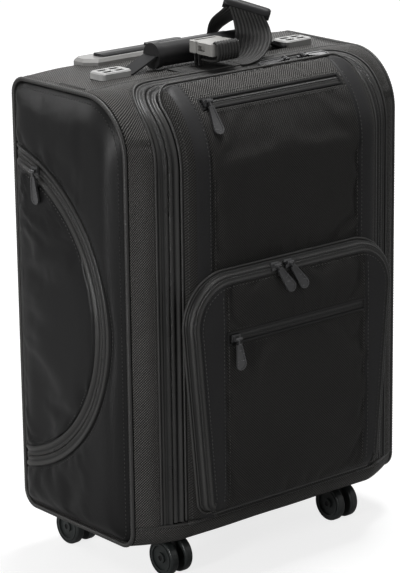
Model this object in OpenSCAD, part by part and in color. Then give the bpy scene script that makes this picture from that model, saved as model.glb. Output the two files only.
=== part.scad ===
// Soft-sided rolling case: padded nylon body with a zipped front lid, an arched front pocket,
// two side pockets, a telescopic trolley handle, a carry handle and four swivel casters.
// Case coordinates: x to the right, y = -(distance in front of the back panel), z above the body's floor.

/* [Body] */
// Width across the two side seams
body_w = 384; // [364:4:424]
// Depth of the side panels, from the back to the front seam
body_d = 198; // [190:2:226]
// Height of the side panels
body_h = 500; // [480:5:560]
// Thickness of the padded walls
wall = 5; // [4:0.5:6]
// Rise of the top between the side seams
top_crown = 3; // [2:1:8]
// Rise of the front between the side seams
front_crown = 24; // [18:1:30]
// Swell of the padded sides
side_swell = 14; // [12:1:20]
// Radius of the side profile at the top front
brow_r = 65; // [50:1:75]
// Radius of the other corners of the side profile
edge_r = 20; // [16:1:24]
// Diameter of the piping on the side seams
piping_d = 5; // [4:0.5:6]
// Height of the base tray's rim
base_band = 26; // [24:1:34]
// Height of the floor of the body above the ground
ground = 50; // [49:0.5:60]

/* [Lid] */
// Width of the lid between its side zips
lid_w = 284; // [260:4:300]
// Set-back of the lid's top edge behind the front seam
lid_setback = 28; // [22:1:36]
// Corner radius of the lid's top edge
lid_corner_r = 25; // [15:1:35]
// Rise of the lid's face above the zip
lid_rise = 12; // [9:1:16]
// Thickness of the lid's padded wall
lid_wall = 6; // [5:0.5:7]
// Radius of the lid's top front edge
lid_brow_r = 95; // [85:1:105]
// Width of the lid's zip, both tapes
zip_w = 24; // [20:1:26]
// Height of the upper pocket's zip
upper_zip_z = 485; // [470:1:490]
// Length of the upper and lower pocket zips
welt_len = 200; // [170:2:204]

/* [Front pocket] */
// Width of the front pocket at its shoulders
pocket_w = 298; // [280:2:300]
// Width of the front pocket at its foot
pocket_foot_w = 264; // [240:2:280]
// Height of the front pocket's foot
pocket_foot_z = 38; // [36:1:50]
// Height of the front pocket's arch
pocket_top_z = 306; // [290:1:330]
// Radius of the arch's shoulders
pocket_r = 55; // [40:1:70]
// Rise of the pocket's face above the lid
pocket_rise = 16; // [13:1:22]
// Height of the lower pocket's zip
lower_zip_z = 234; // [225:1:240]
// Thickness of the pocket flaps
flap_t = 4; // [3:0.5:5]

/* [Side pockets] */
// Radius of the side pocket's arch
side_arch_r = 178; // [165:1:182]
// Distance of the side pocket's hinge from the back
side_hinge_u = 12; // [11:1:16]
// Reach of the side pocket's arch from the back
side_reach_u = 164; // [150:1:170]
// Height of the middle of the side pocket
side_mid_z = 240; // [236:1:256]

/* [Trolley handle] */
// Distance between the two trolley tubes
tube_span = 164; // [150:2:170]
// Distance of the tubes from the back
tube_u = 22; // [22:0.5:25]
// Width of the outer tubes
outer_tube_w = 20; // [19:0.5:22]
// Depth of the outer tubes, front to back
outer_tube_d = 14; // [13.5:0.5:15]
// Wall thickness of the tubes
tube_wall = 1.2; // [1:0.1:1.4]
// Gap between one tube and the next
tube_gap = 0.3; // [0.25:0.05:0.4]
// Length of the trolley grip
grip_len = 190; // [184:2:200]
// Depth of the trolley grip, front to back
grip_d = 20; // [18:0.5:21]
// Height of the trolley grip
grip_h = 19; // [18:0.5:24]
// Length of the push button
button_len = 52; // [40:2:60]
// Travel of the push button
button_travel = 3.5; // [3:0.1:3.6]

/* [Carry handle] */
// Distance between the anchors' centres
anchor_span = 264; // [256:2:272]
// Distance of the carry handle from the back
handle_u = 95; // [85:1:100]
// Anchor's length along the handle
anchor_l = 42; // [40:1:46]
// Anchor's depth, front to back
anchor_d = 26; // [25:0.5:30]
// Diameter of the carry grip
carry_d = 27; // [22:0.5:29]
// Length of the carry grip
carry_len = 152; // [140:2:160]
// Height of the grip's middle above the top
carry_rise = 15; // [15:0.5:20]
// Lift of the carry handle in its anchors
carry_lift = 3; // [2:0.5:4]

/* [Casters] */
// Wheel diameter
wheel_d = 42; // [36:0.5:43]
// Width of one wheel
wheel_w = 11; // [9:0.5:13]
// Thickness of the fork between the wheels
fork_w = 8; // [7:0.5:10]
// Axle diameter
axle_d = 6; // [5:0.5:7]
// Distance from the swivel axis to the axle
trail = 15; // [12:0.5:18]
// Front swivels' distance from the middle
caster_front_x = 126; // [110:1:150]
// Rear swivels' distance from the middle
caster_rear_x = 146; // [120:1:160]
// Front swivels' distance from the back
caster_front_u = 162; // [150:1:170]
// Rear swivels' distance from the back
caster_rear_u = 46; // [44:1:60]

/* [Zip hardware] */
// Length of a zip pull, from its pin to its tip
pull_len = 38; // [30:1:42]
// Width of a zip pull at its tip
pull_w = 13; // [10:0.5:15]
// Thickness of a zip pull
pull_t = 2.4; // [2:0.1:3]
// Length of a zip slider
slider_l = 11; // [10.5:0.5:13]

/* [Strap] */
// Width of the strap's webbing
web_w = 42; // [34:1:44]
// Thickness of the webbing
web_t = 2; // [1.6:0.1:2.4]
// Width of the buckle
buckle_w = 40; // [38:1:44]
// Length of the buckle's socket
buckle_l = 28; // [27:1:32]
// Thickness of the buckle
buckle_t = 13; // [12:0.5:15]
// Height of the strap's bar above the top
loop_h = 54; // [52:0.5:60]

/* [Hidden] */
$fn = 48;

// Clearances: touching soft parts, running fits and swinging edges
soft_gap = 0.3;
run_gap = 0.05;
swing_gap = 0.6;
// Thickness of a loft's slices and reach of the cutting blocks
thin = 0.02;
far = 1200;
// Facets on the rounded corners of the padded shapes
soft_fn = 32;
arc_n = soft_fn / 4;

half_w = body_w / 2;
wrap_front = body_d + front_crown;
wrap_top = body_h + top_crown;
wrap_brow_r = brow_r + 17;
lid_edge_rise = 4;
lid_top_rise = 11;
lid_shoulder = 16;
lid_face = wrap_front + lid_rise;
lid_top = wrap_top + lid_top_rise;
lid_edge_u = body_d - lid_setback;
lid_bottom_z = base_band + 2.3;
tape_t = 2;
tape_sink = 1;
pocket_face = lid_face + pocket_rise;
// Height of a zip pull's outer face above its tape
pull_stack = 7.5;
back_y = (pocket_face + pull_stack) / 2;

// Stations of the padded body: half width, front, top and top front radius
wrap_steps = [
  [half_w, body_d, body_h, brow_r],
  [lid_w / 2 + zip_w, body_d + 0.6 * front_crown, body_h + 0.65 * top_crown, (brow_r + wrap_brow_r) / 2],
  [lid_w / 2, wrap_front, wrap_top, wrap_brow_r]
];
lid_steps = [
  [lid_w / 2, wrap_front + lid_edge_rise, wrap_top + 1, wrap_brow_r + 4],
  [lid_w / 2 - lid_shoulder, lid_face - 1, lid_top - 1, lid_brow_r - 2],
  [lid_w / 2 - 2.5 * lid_shoulder, lid_face, lid_top, lid_brow_r]
];

// Moves case coordinates to the ground frame
module in_case() {
  translate([0, back_y, ground]) children();
}

// A block between two corners given as distances x, from the back and up
module block(low, high) {
  translate([low[0], -high[1], low[2]])
    cube([high[0] - low[0], high[1] - low[1], high[2] - low[2]]);
}

// Points of one rounded corner of a profile, as distances from the back and up
function corner_arc(u, z, r, from) = [
  for (k = [0:arc_n])
    [u + r * cos(from + 90 * k / arc_n), z + r * sin(from + 90 * k / arc_n)]
];

// One slice of a padded shape: x, front, top, top front radius and how far it is drawn in
function profile_ring(s) =
  let (
    in = s[4],
    r = max(edge_r - in, 2),
    brow = max(s[3] - in, 2),
    low = in + r,
    front = s[1] - in,
    top = s[2] - in,
    path = concat(
      corner_arc(front - r, low, r, 270), corner_arc(front - brow, top - brow, brow, 0),
      corner_arc(low, top - r, r, 90), corner_arc(low, low, r, 180)
    )
  ) [for (p = path) [s[0], -p[0], p[1]]];

// Skins a row of slices, given from left to right
module slices(rows) {
  n = 4 * (arc_n + 1);
  last = n * (len(rows) - 1);
  polyhedron(
    points = [for (s = rows) each profile_ring(s)],
    faces = concat(
      [for (k = [1:n - 2]) [0, k + 1, k]],
      [for (k = [1:n - 2]) [last, last + k, last + k + 1]],
      [for (i = [0:len(rows) - 2], k = [0:n - 1])
        let (a = n * i + k, b = n * i + (k + 1) % n)
          each [[a, b, b + n], [a, b + n, a + n]]]
    )
  );
}

module loft(steps, inset=0, narrow=0) {
  n = len(steps) - 1;
  slices(concat(
    [for (s = steps) [narrow - s[0], s[1], s[2], s[3], inset]],
    [for (i = [n:-1:0]) [steps[i][0] - narrow, steps[i][1], steps[i][2], steps[i][3], inset]]
  ));
}

// The padded tube that wraps round the case, open at both sides
module wrap_shell(outer_inset=0, inner_inset=wall) {
  open_end = [half_w + 1, body_d, body_h, brow_r];
  difference() {
    loft(wrap_steps, outer_inset);
    loft([open_end, wrap_steps[1], wrap_steps[2]], inner_inset);
  }
}

// Plan of the lid, grown outwards by grow, as a tall prism
module lid_prism(grow, from_z=-far / 2) {
  w = lid_w + 2 * grow;
  r = lid_corner_r + grow;
  edge = -(lid_edge_u - grow);
  translate([0, 0, from_z])
    linear_extrude(far) {
      translate([-w / 2, -far]) square([w, far + edge - r]);
      translate([-w / 2 + r, -far]) square([w - 2 * r, far + edge]);
      for (side = [-1, 1])
        translate([side * (w / 2 - r), edge - r]) circle(r);
    }
}

// Body panels
top_seam_u = 130;
top_seam_z = body_h - edge_r;
bezel_hole = [111, tube_u - 14.2, tube_u + 14.4];

module back_panel() color("#1c1c1e") in_case()
  intersection() {
    wrap_shell();
    block([-far, -1, base_band], [far, edge_r, top_seam_z]);
  }

module base_pan() color("#161617") in_case()
  difference() {
    intersection() {
      wrap_shell();
      block([-far, -far, -1], [far, far, base_band]);
    }
    for (c = casters())
      translate([c[0], -c[1], -1]) cylinder(d=kingpin_d + 2, h=wall + 2);
  }

module top_panel() color("#1c1c1e") in_case()
  difference() {
    intersection() {
      wrap_shell();
      block([-far, -1, top_seam_z], [far, top_seam_u, far]);
    }
    block([-bezel_hole[0], bezel_hole[1], top_seam_z], [bezel_hole[0], bezel_hole[2], far]);
  }

module front_frame() color("#1a1a1c") in_case()
  difference() {
    intersection() {
      wrap_shell();
      block([-far, top_seam_u, base_band], [far, far, far]);
    }
    lid_prism(zip_w);
  }

// Side panels and their pockets
board_t = 6;
side_floor = 1;
side_rim = 7;
side_zip_w = 8;
hinge_room = 4.5;
pad_round = 36;
pocket_reach = 60;
arch_centre_u = side_reach_u - side_arch_r;
side_axis_x = half_w + 4;

// Padded side: stations outwards from the seam, each drawn in more than the one before
module side_pad(inset=0, shrink=0) {
  pad = [
    [-board_t, wall + 0.2], [0, wall + 0.2], [0.45 * side_swell, wall + 4],
    [0.72 * side_swell, wall + 0.33 * pad_round], [0.9 * side_swell, wall + 0.61 * pad_round],
    [side_swell, wall + pad_round]
  ];
  slices([for (p = pad) [half_w + p[0] - shrink, body_d, body_h, brow_r, p[1] + inset]]);
}

// Prism of the arched side pocket, its outline drawn in by inset
module side_arch(inset, from_x) {
  translate([from_x, 0, 0])
    rotate([90, 0, 90])
      linear_extrude(pocket_reach)
        intersection() {
          translate([-arch_centre_u, side_mid_z]) circle(side_arch_r - inset, $fn=96);
          translate([-side_hinge_u - far - max(inset, -hinge_room), 0]) square([far, body_h]);
        }
}

module right_side_panel() color("#19191b") in_case()
  difference() {
    side_pad();
    side_arch(-side_zip_w, half_w + side_floor);
  }

module left_side_panel() mirror([1, 0, 0]) right_side_panel();

module right_side_zip_tape()
  intersection() {
    side_pad(0, tape_sink);
    difference() {
      side_arch(-side_zip_w, half_w + side_floor);
      side_arch(-swing_gap, half_w);
      // Room behind the hinge, where the flap turns
      translate([half_w, -side_hinge_u - 1, 0]) cube([pocket_reach, far, body_h]);
    }
  }

module side_zip_tapes() color("#2a2a2c") in_case() {
  right_side_zip_tape();
  mirror([1, 0, 0]) right_side_zip_tape();
}

module right_side_flap() color("#19191b") in_case() {
  difference() {
    intersection() {
      side_pad();
      side_arch(0, half_w + side_floor + soft_gap);
    }
    intersection() {
      side_pad(0, flap_t);
      side_arch(side_rim, half_w);
    }
  }
}

module left_side_flap() mirror([1, 0, 0]) right_side_flap();

// Piping and wires: a round bar bent along the side profile
module profile_loop(bar_r, inset) {
  corners = [
    [-edge_r, body_h - edge_r, edge_r - inset],
    [-body_d + brow_r, body_h - brow_r, brow_r - inset],
    [-body_d + edge_r, edge_r, edge_r - inset],
    [-edge_r, edge_r, edge_r - inset]
  ];
  rotate([90, 0, 90])
    for (i = [0:3]) {
      c = corners[i];
      next = corners[(i + 1) % 4];
      turn = 90 * i;
      out = [cos(turn + 90), sin(turn + 90)];
      from = [c[0], c[1]] + c[2] * out;
      to = [next[0], next[1]] + next[2] * out;
      translate([c[0], c[1], 0])
        rotate([0, 0, turn])
          rotate_extrude(angle=90, $fn=64)
            translate([c[2], 0]) circle(bar_r, $fn=24);
      translate([from[0], from[1], 0])
        rotate([0, 0, turn + 180])
          rotate([0, 90, 0])
            cylinder(r=bar_r, h=norm(to - from), $fn=24);
    }
}

piping_proud = 0.7;
wire_d = 3;

module side_piping() color("#232325") in_case()
  for (side = [-1, 1])
    translate([side * (half_w + piping_d / 2 + run_gap), 0, 0])
      profile_loop(piping_d / 2, piping_d / 2 - piping_proud);

module frame_wires() color("#8a8d90") in_case()
  for (side = [-1, 1])
    translate([side * (half_w - board_t - wire_d / 2 - 2 * run_gap), 0, 0])
      profile_loop(wire_d / 2, wall + wire_d / 2 + soft_gap);

// Lid zip
split_gap = 0.2;

module zip_band(outer_grow, inner_grow)
  difference() {
    intersection() {
      wrap_shell(tape_sink, tape_sink + tape_t);
      lid_prism(outer_grow);
    }
    lid_prism(inner_grow);
  }

module body_zip_tape() color("#2a2a2c") in_case()
  intersection() {
    zip_band(zip_w, zip_w / 2 + split_gap);
    block([-far, 0, base_band], [far, far, far]);
  }

module lid_zip_tape() color("#2a2a2c") in_case()
  intersection() {
    zip_band(zip_w / 2 - split_gap, 0);
    block([-far, 0, lid_bottom_z], [far, far, far]);
  }

// Lid
welt_w = 14;
welt_sink = 2.4;
tape_top = 0.4;
brow_u = lid_face - lid_brow_r;
brow_z = lid_top - lid_brow_r;
upper_tilt = asin((upper_zip_z - brow_z) / lid_brow_r);
upper_u = brow_u + lid_brow_r * cos(upper_tilt);
hinge_r = 2.5;
lid_axis_u = wrap_front + hinge_r + 2 * run_gap;
lid_axis_z = base_band - 0.5;

// Places a fitting on a zip: local z points out of the surface and local y up along it
module on_front(x, u, z, tilt) {
  translate([x, -u, z]) rotate([90 - tilt, 0, 0]) children();
}

module welt_slot()
  translate([-welt_len / 2, -welt_w / 2, -welt_sink]) cube([welt_len, welt_w, far]);

module welt_tape() {
  l = welt_len - 2 * soft_gap;
  w = welt_w - 2 * soft_gap;
  translate([-l / 2, -w / 2, -welt_sink]) cube([l, w, welt_sink - tape_top]);
}

module lid_panel() color("#1d1d1f") in_case() {
  difference() {
    intersection() {
      loft(lid_steps);
      lid_prism(0, lid_bottom_z);
    }
    intersection() {
      loft(lid_steps, lid_wall, lid_wall);
      lid_prism(-lid_wall);
    }
    loft(wrap_steps, tape_sink + tape_t);
    on_front(0, upper_u, upper_zip_z, upper_tilt) welt_slot();
  }
  // Rolled hem that the lid turns on
  translate([-lid_w / 2 + 2, -lid_axis_u, lid_axis_z])
    rotate([0, 90, 0]) cylinder(r=hinge_r, h=lid_w - 4);
}

module upper_zip_tape() color("#2a2a2c") in_case()
  on_front(0, upper_u, upper_zip_z, upper_tilt) welt_tape();

// Front pocket
gusset_t = 3;
gusset_back = 4;
gusset_w = 14;
flap_back_u = lid_face + gusset_t + soft_gap;
flap_depth = pocket_face - flap_back_u;
pocket_foot_r = 14;
pocket_hinge_r = 2;
pocket_axis_u = flap_back_u + 1.5;
pocket_axis_z = pocket_foot_z - pocket_hinge_r - soft_gap;
// Stations of the padded flap: share of its depth, and how far its outline is drawn in
flap_steps = [[0, 0], [0.45, 2], [0.78, 8], [0.94, 22], [1, 45]];

// Four discs at the corners of the arched outline
module arch_discs(u, inset, h=thin) {
  foot = pocket_foot_z + 2 * inset;
  top_r = max(pocket_r - inset, 4);
  foot_r = max(pocket_foot_r - inset, 4);
  for (side = [-1, 1]) {
    translate([side * (pocket_w / 2 - inset - top_r), -u, pocket_top_z - inset - top_r])
      rotate([90, 0, 0]) cylinder(r=top_r, h=h, $fn=soft_fn);
    translate([side * (pocket_foot_w / 2 - inset - foot_r), -u, foot + foot_r])
      rotate([90, 0, 0]) cylinder(r=foot_r, h=h, $fn=soft_fn);
  }
}

module pocket_pad(inset=0, shrink=0)
  hull()
    for (s = flap_steps)
      arch_discs(flap_back_u + s[0] * flap_depth - shrink - thin, s[1] + inset);

module pocket_gusset() color("#2a2a2c") in_case()
  difference() {
    hull() arch_discs(lid_face - gusset_back, 0, gusset_back + gusset_t);
    hull() arch_discs(lid_face - gusset_back - 1, gusset_w, gusset_back + gusset_t + 2);
    loft(lid_steps);
  }

module pocket_flap() color("#1d1d1f") in_case() {
  difference() {
    pocket_pad();
    intersection() {
      pocket_pad(0, flap_t);
      hull() arch_discs(flap_back_u - 1, gusset_w, flap_depth + 2);
    }
    on_front(0, pocket_face, lower_zip_z, 0) welt_slot();
  }
  translate([-pocket_foot_w / 2 + pocket_foot_r, -pocket_axis_u, pocket_axis_z])
    rotate([0, 90, 0]) cylinder(r=pocket_hinge_r, h=pocket_foot_w - 2 * pocket_foot_r);
}

module lower_zip_tape() color("#2a2a2c") in_case()
  on_front(0, pocket_face, lower_zip_z, 0) welt_tape();

// Zip sliders and pulls: the pin runs along local x, the pull hangs along local -y
slider_w = 9;
slider_t = 3;
eye_r = 2;
pin_r = 1.1;
pin_z = slider_t + 2 * soft_gap + eye_r;
ear_r = 1.9;
ear_t = 1.6;
ear_x = 2.8;
eye_w = 2 * ear_x - 0.4;

module bar_x(r, l)
  rotate([0, 90, 0]) cylinder(r=r, h=l, center=true, $fn=32);

module slider() {
  // The nose slopes down, so the pull can lie on the cloth
  translate([-slider_l / 2, 0, soft_gap])
    rotate([90, 0, 90])
      linear_extrude(slider_l)
        polygon([
          [-slider_w / 2, 0], [slider_w / 2, 0], [slider_w / 2, slider_t],
          [-1.5, slider_t], [-slider_w / 2, 0.8]
        ]);
  for (side = [-1, 1]) {
    translate([side * (ear_x + ear_t / 2), 0, pin_z]) bar_x(ear_r, ear_t);
    translate([side * (ear_x + ear_t / 2) - ear_t / 2, -ear_r, soft_gap])
      cube([ear_t, 2 * ear_r, pin_z - soft_gap]);
  }
  translate([0, 0, pin_z]) bar_x(pin_r, 2 * (ear_x + ear_t));
}

// Outline of the tongue: a narrow neck that widens to a round tip
module tongue(inset) {
  tip = pull_len - pull_w / 2;
  shoulder = 6;
  waist = 6.5;
  polygon([
    [-waist / 2 + inset, -shoulder - inset], [waist / 2 - inset, -shoulder - inset],
    [pull_w / 2 - inset, -tip], [-pull_w / 2 + inset, -tip]
  ]);
  translate([0, -tip]) circle(pull_w / 2 - inset);
}

// A pull turned about its pin towards the cloth by lay, its tongue set askew by slant
module pull(lay, slant=0) {
  neck_w = 2;
  ridge = 1.6;
  sink = 0.5;
  translate([0, 0, pin_z])
    rotate([lay, 0, 0])
    difference() {
      union() {
        bar_x(eye_r, eye_w);
        rotate([0, 0, slant])
          difference() {
            translate([0, 0, -pull_t / 2])
              linear_extrude(pull_t) {
                tongue(0);
                translate([-neck_w / 2, -7]) square([neck_w, 6]);
              }
            translate([0, 0, pull_t / 2 - sink]) linear_extrude(1) tongue(ridge);
          }
      }
      bar_x(pin_r + run_gap, 2 * eye_w);
    }
}

metal = "#3a3a3d";
upper_slider_x = -welt_len / 2 + 9;
upper_lay = 15;
flat_lay = 5;
pocket_lay = 27;
lower_slider_x = -welt_len / 2 + 9;
pocket_slider_x = [-30, -11];
pocket_slant = 33;
side_slider_u = 55;
lid_slider_x = [65, 91];

module on_upper()
  on_front(upper_slider_x, upper_u, upper_zip_z, upper_tilt)
    translate([0, 0, -tape_top]) children();

module upper_slider() color(metal) in_case() on_upper() slider();

module upper_pull() color(metal) in_case()
  on_upper() pull(upper_lay);

module on_lower()
  on_front(lower_slider_x, pocket_face, lower_zip_z, 0)
    translate([0, 0, -tape_top]) children();

module lower_slider() color(metal) in_case() on_lower() slider();

module lower_pull() color(metal) in_case() on_lower() pull(flat_lay, 12);

// The pocket's sliders sit on the slope of the flap's shoulder
shoulder_rise = (flap_steps[2][0] - flap_steps[1][0]) * flap_depth;
shoulder_drop = flap_steps[2][1] - flap_steps[1][1];
pocket_tilt = atan(shoulder_rise / shoulder_drop);
pocket_slider_u = flap_back_u + (flap_steps[1][0] + flap_steps[2][0]) / 2 * flap_depth;
pocket_slider_z = pocket_top_z - (flap_steps[1][1] + flap_steps[2][1]) / 2;

module on_pocket(x)
  on_front(x, pocket_slider_u, pocket_slider_z, pocket_tilt) children();

module pocket_sliders() color(metal) in_case()
  for (x = pocket_slider_x) on_pocket(x) slider();

module left_pocket_pull() color(metal) in_case() on_pocket(pocket_slider_x[0]) pull(pocket_lay, pocket_slant);

module right_pocket_pull() color(metal) in_case() on_pocket(pocket_slider_x[1]) pull(pocket_lay, pocket_slant);

side_slider_z = side_mid_z + sqrt(pow(side_arch_r, 2) - pow(side_slider_u - arch_centre_u, 2));

module on_right_side()
  translate([half_w + side_swell, -side_slider_u, side_slider_z])
    rotate([90, 0, 90]) children();

module right_side_slider() color(metal) in_case() on_right_side() slider();

module left_side_slider() mirror([1, 0, 0]) right_side_slider();

module right_side_pull() color(metal) in_case() on_right_side() pull(flat_lay);

module left_side_pull() mirror([1, 0, 0]) right_side_pull();

// The lid's sliders ride on the zip across the top, their pulls lying along it
lid_slider_u = lid_edge_u - zip_w / 2;
lid_slider_tilt = acos((lid_slider_u - wrap_front + wrap_brow_r) / wrap_brow_r);
lid_slider_z = wrap_top - wrap_brow_r * (1 - sin(lid_slider_tilt));

module on_lid_zip(i)
  on_front(lid_slider_x[i], lid_slider_u, lid_slider_z, lid_slider_tilt)
    translate([0, 0, -tape_sink])
      rotate([0, 0, i == 0 ? -90 : 90]) children();

module lid_zip_sliders() color(metal) in_case()
  for (i = [0, 1]) on_lid_zip(i) slider();

module left_lid_pull() color(metal) in_case() on_lid_zip(0) pull(flat_lay);

module right_lid_pull() color(metal) in_case() on_lid_zip(1) pull(flat_lay);

// Trolley handle
outer_tube = [outer_tube_w, outer_tube_d];
mid_tube = outer_tube - 2 * (tube_wall + tube_gap) * [1, 1];
inner_tube = mid_tube - 2 * (tube_wall + tube_gap) * [1, 1];
floor_gap = 0.1;
foot_h = 20;
foot_z = wall + floor_gap;
bezel_floor_z = wrap_top - 9;
bezel_floor_t = 8;
bezel_rise = 7;
bezel_l = 236;
bezel_d = 35;
bezel_end = 12;
outer_low_z = foot_z + 3;
mid_low_z = outer_low_z + 8;
inner_low_z = mid_low_z + 12;
grip_z = bezel_floor_z + soft_gap;
inner_top_z = grip_z + 4;
rod_d = 4;
bar_h = 4;
bar_z = inner_top_z + button_travel + 0.7;
button_w = 10;
button_proud = 2;
pin_low_z = inner_low_z + 5;

module rounded_plan(w, d, r) {
  square([w - 2 * r, d], center=true);
  square([w, d - 2 * r], center=true);
  for (sx = [-1, 1], sy = [-1, 1])
    translate([sx * (w / 2 - r), sy * (d / 2 - r)]) circle(r);
}

module tube(size, low, high)
  for (side = [-1, 1])
    translate([side * tube_span / 2, -tube_u, low])
      linear_extrude(high - low)
        difference() {
          rounded_plan(size[0], size[1], 2);
          rounded_plan(size[0] - 2 * tube_wall, size[1] - 2 * tube_wall, 1);
        }

module tube_holes(size, gap, low, high)
  for (side = [-1, 1])
    translate([side * tube_span / 2, -tube_u, low])
      linear_extrude(high - low) rounded_plan(size[0] + 2 * gap, size[1] + 2 * gap, 2);

module outer_tubes() color("#9a9da1") in_case()
  tube(outer_tube, outer_low_z, bezel_floor_z - bezel_floor_t - floor_gap);

module mid_tubes() color("#a6a9ad") in_case()
  tube(mid_tube, mid_low_z, bezel_floor_z);

module inner_tubes() color("#b2b5b9") in_case()
  difference() {
    tube(inner_tube, inner_low_z, inner_top_z);
    for (side = [-1, 1])
      translate([side * (tube_span / 2 + inner_tube[0] / 2), -tube_u, pin_low_z + lock_r])
        rotate([0, 90, 0]) cylinder(r=lock_r + run_gap, h=6, center=true);
  }

tunnel_w = outer_tube_w + 16;
tunnel_t = 1.5;
tunnel_u = tube_u + outer_tube_d / 2 + 1;

module tube_tunnels() color("#26262a") in_case()
  for (side = [-1, 1])
    translate([side * tube_span / 2, 0, 0])
      difference() {
        block([-tunnel_w / 2, wall + floor_gap, foot_z + foot_h],
              [tunnel_w / 2, tunnel_u + tunnel_t, bezel_floor_z - bezel_floor_t - floor_gap]);
        block([-tunnel_w / 2 + tunnel_t, 0, 0], [tunnel_w / 2 - tunnel_t, tunnel_u, far]);
      }

module tube_feet() color("#202022") in_case()
  difference() {
    intersection() {
      for (side = [-1, 1])
        translate([side * tube_span / 2, 0, 0])
          block([-tunnel_w / 2, wall + floor_gap, foot_z],
                [tunnel_w / 2, tunnel_u + tunnel_t, foot_z + foot_h]);
      // Rounded like the inside of the base
      loft(wrap_steps, wall + floor_gap);
    }
    tube_holes(outer_tube, run_gap, outer_low_z, far);
  }

module bezel_plan(grow) {
  l = bezel_l / 2 + grow;
  d = bezel_d / 2 + grow;
  polygon([[-l, -d + bezel_end], [-l + bezel_end, -d], [l - bezel_end, -d], [l, -d + bezel_end],
           [l, d - 6], [l - 6, d], [-l + 6, d], [-l, d - 6]]);
}

module grip_plan(gap)
  rounded_plan(grip_len + 2 * gap, grip_d + 2 * gap, 8);

module trolley_bezel() color("#6d6e70") in_case()
  difference() {
    union() {
      difference() {
        translate([0, -tube_u, wrap_top])
          hull() {
            translate([0, 0, -3 * bezel_rise]) linear_extrude(3.5 * bezel_rise) bezel_plan(0);
            translate([0, 0, bezel_rise - thin]) linear_extrude(thin) bezel_plan(-3);
          }
        loft(wrap_steps);
      }
      block([-bezel_hole[0] + soft_gap, bezel_hole[1] + soft_gap, bezel_floor_z - bezel_floor_t],
            [bezel_hole[0] - soft_gap, bezel_hole[2] - soft_gap, wrap_top + 1]);
    }
    translate([0, -tube_u, bezel_floor_z]) linear_extrude(far) grip_plan(0.5);
    tube_holes(mid_tube, soft_gap, 0, far);
  }

module trolley_grip() color("#2b2b2d") in_case()
  difference() {
    intersection() {
      translate([0, -tube_u, grip_z]) linear_extrude(grip_h) grip_plan(0);
      translate([-far / 2, -tube_u, grip_z + grip_h / 2])
        rotate([90, 0, 90]) linear_extrude(far) rounded_plan(grip_d, grip_h, 6);
    }
    // Sockets for the tubes, and the hollow that the push bar works in
    tube_holes(inner_tube, 0, 0, inner_top_z);
    block([-tube_span / 2 - 6, tube_u - 4, inner_top_z - thin],
          [tube_span / 2 + 6, tube_u + 4, bar_z + bar_h + 0.4]);
    translate([0, -tube_u, inner_top_z]) linear_extrude(far) rounded_plan(button_len, button_w, 4.9);
  }

// Push button, its bar and the two rods that reach down the tubes to the lock pins
module grip_button() color("#3c3c3f") in_case() {
  top = grip_z + grip_h + button_proud;
  difference() {
    union() {
      translate([0, -tube_u, bar_z])
        linear_extrude(top - bar_z)
          rounded_plan(button_len - 2 * soft_gap, button_w - 2 * soft_gap, 4.5);
      block([-tube_span / 2 - 2.5, tube_u - 2.5, bar_z], [tube_span / 2 + 2.5, tube_u + 2.5, bar_z + bar_h]);
      for (side = [-1, 1])
        translate([side * tube_span / 2, -tube_u, pin_low_z])
          cylinder(d=rod_d, h=bar_z - pin_low_z + 1);
    }
    for (side = [-1, 1])
      mirror([side < 0 ? 1 : 0, 0, 0]) {
        lock_wedge(soft_gap * sqrt(2));
        // Room above the pin's nose when the pin is drawn in
        block([ramp_low_x - button_travel - soft_gap, tube_u - rod_d, 0],
              [tube_span / 2 + rod_d, tube_u + rod_d, pin_low_z + 2 * lock_r + button_travel + 2 * soft_gap]);
      }
  }
}

// Lock pins: a nose in the tube's wall and a ramp that the rod pushes inwards
lock_r = 1.75;
ramp_high_x = tube_span / 2 - 2;
ramp_low_x = tube_span / 2 + 4;
wedge_reach = 20;

// Everything under the ramp's slope, raised by gap
module lock_wedge(gap)
  translate([0, -tube_u + wedge_reach / 2, 0])
    rotate([90, 0, 0])
      linear_extrude(wedge_reach)
        polygon([
          [ramp_low_x + wedge_reach, -wedge_reach],
          [ramp_low_x + wedge_reach, pin_low_z + 2 * lock_r - wedge_reach + gap],
          [ramp_high_x - wedge_reach, pin_low_z + 2 * lock_r + ramp_low_x - ramp_high_x + wedge_reach + gap],
          [ramp_high_x - wedge_reach, -wedge_reach]
        ]);

module right_lock_pin() color("#c0c2c5") in_case() {
  nose = tube_span / 2 + inner_tube[0] / 2 - 0.1;
  intersection() {
    lock_wedge(0);
    block([ramp_high_x, tube_u - 2.2, pin_low_z], [ramp_low_x, tube_u + 2.2, pin_low_z + 12]);
  }
  translate([ramp_low_x, -tube_u, pin_low_z + lock_r])
    rotate([0, 90, 0]) cylinder(r=lock_r, h=nose - ramp_low_x);
}

module left_lock_pin() mirror([1, 0, 0]) right_lock_pin();

// Carry handle
strip_w = 22;
strip_t = 2;
carry_z = wrap_top + carry_rise;
tab_z = wrap_top + 0.4 + strip_t / 2;
anchor_roof = 1.6;
anchor_edge = 1.5;
anchor_h = 0.4 + strip_t + carry_lift + 0.5 + anchor_roof;
anchor_in = anchor_span / 2 - anchor_l / 2;
neck_top_x = carry_len / 2 + 2;
neck_foot_x = anchor_in - 2;

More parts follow.
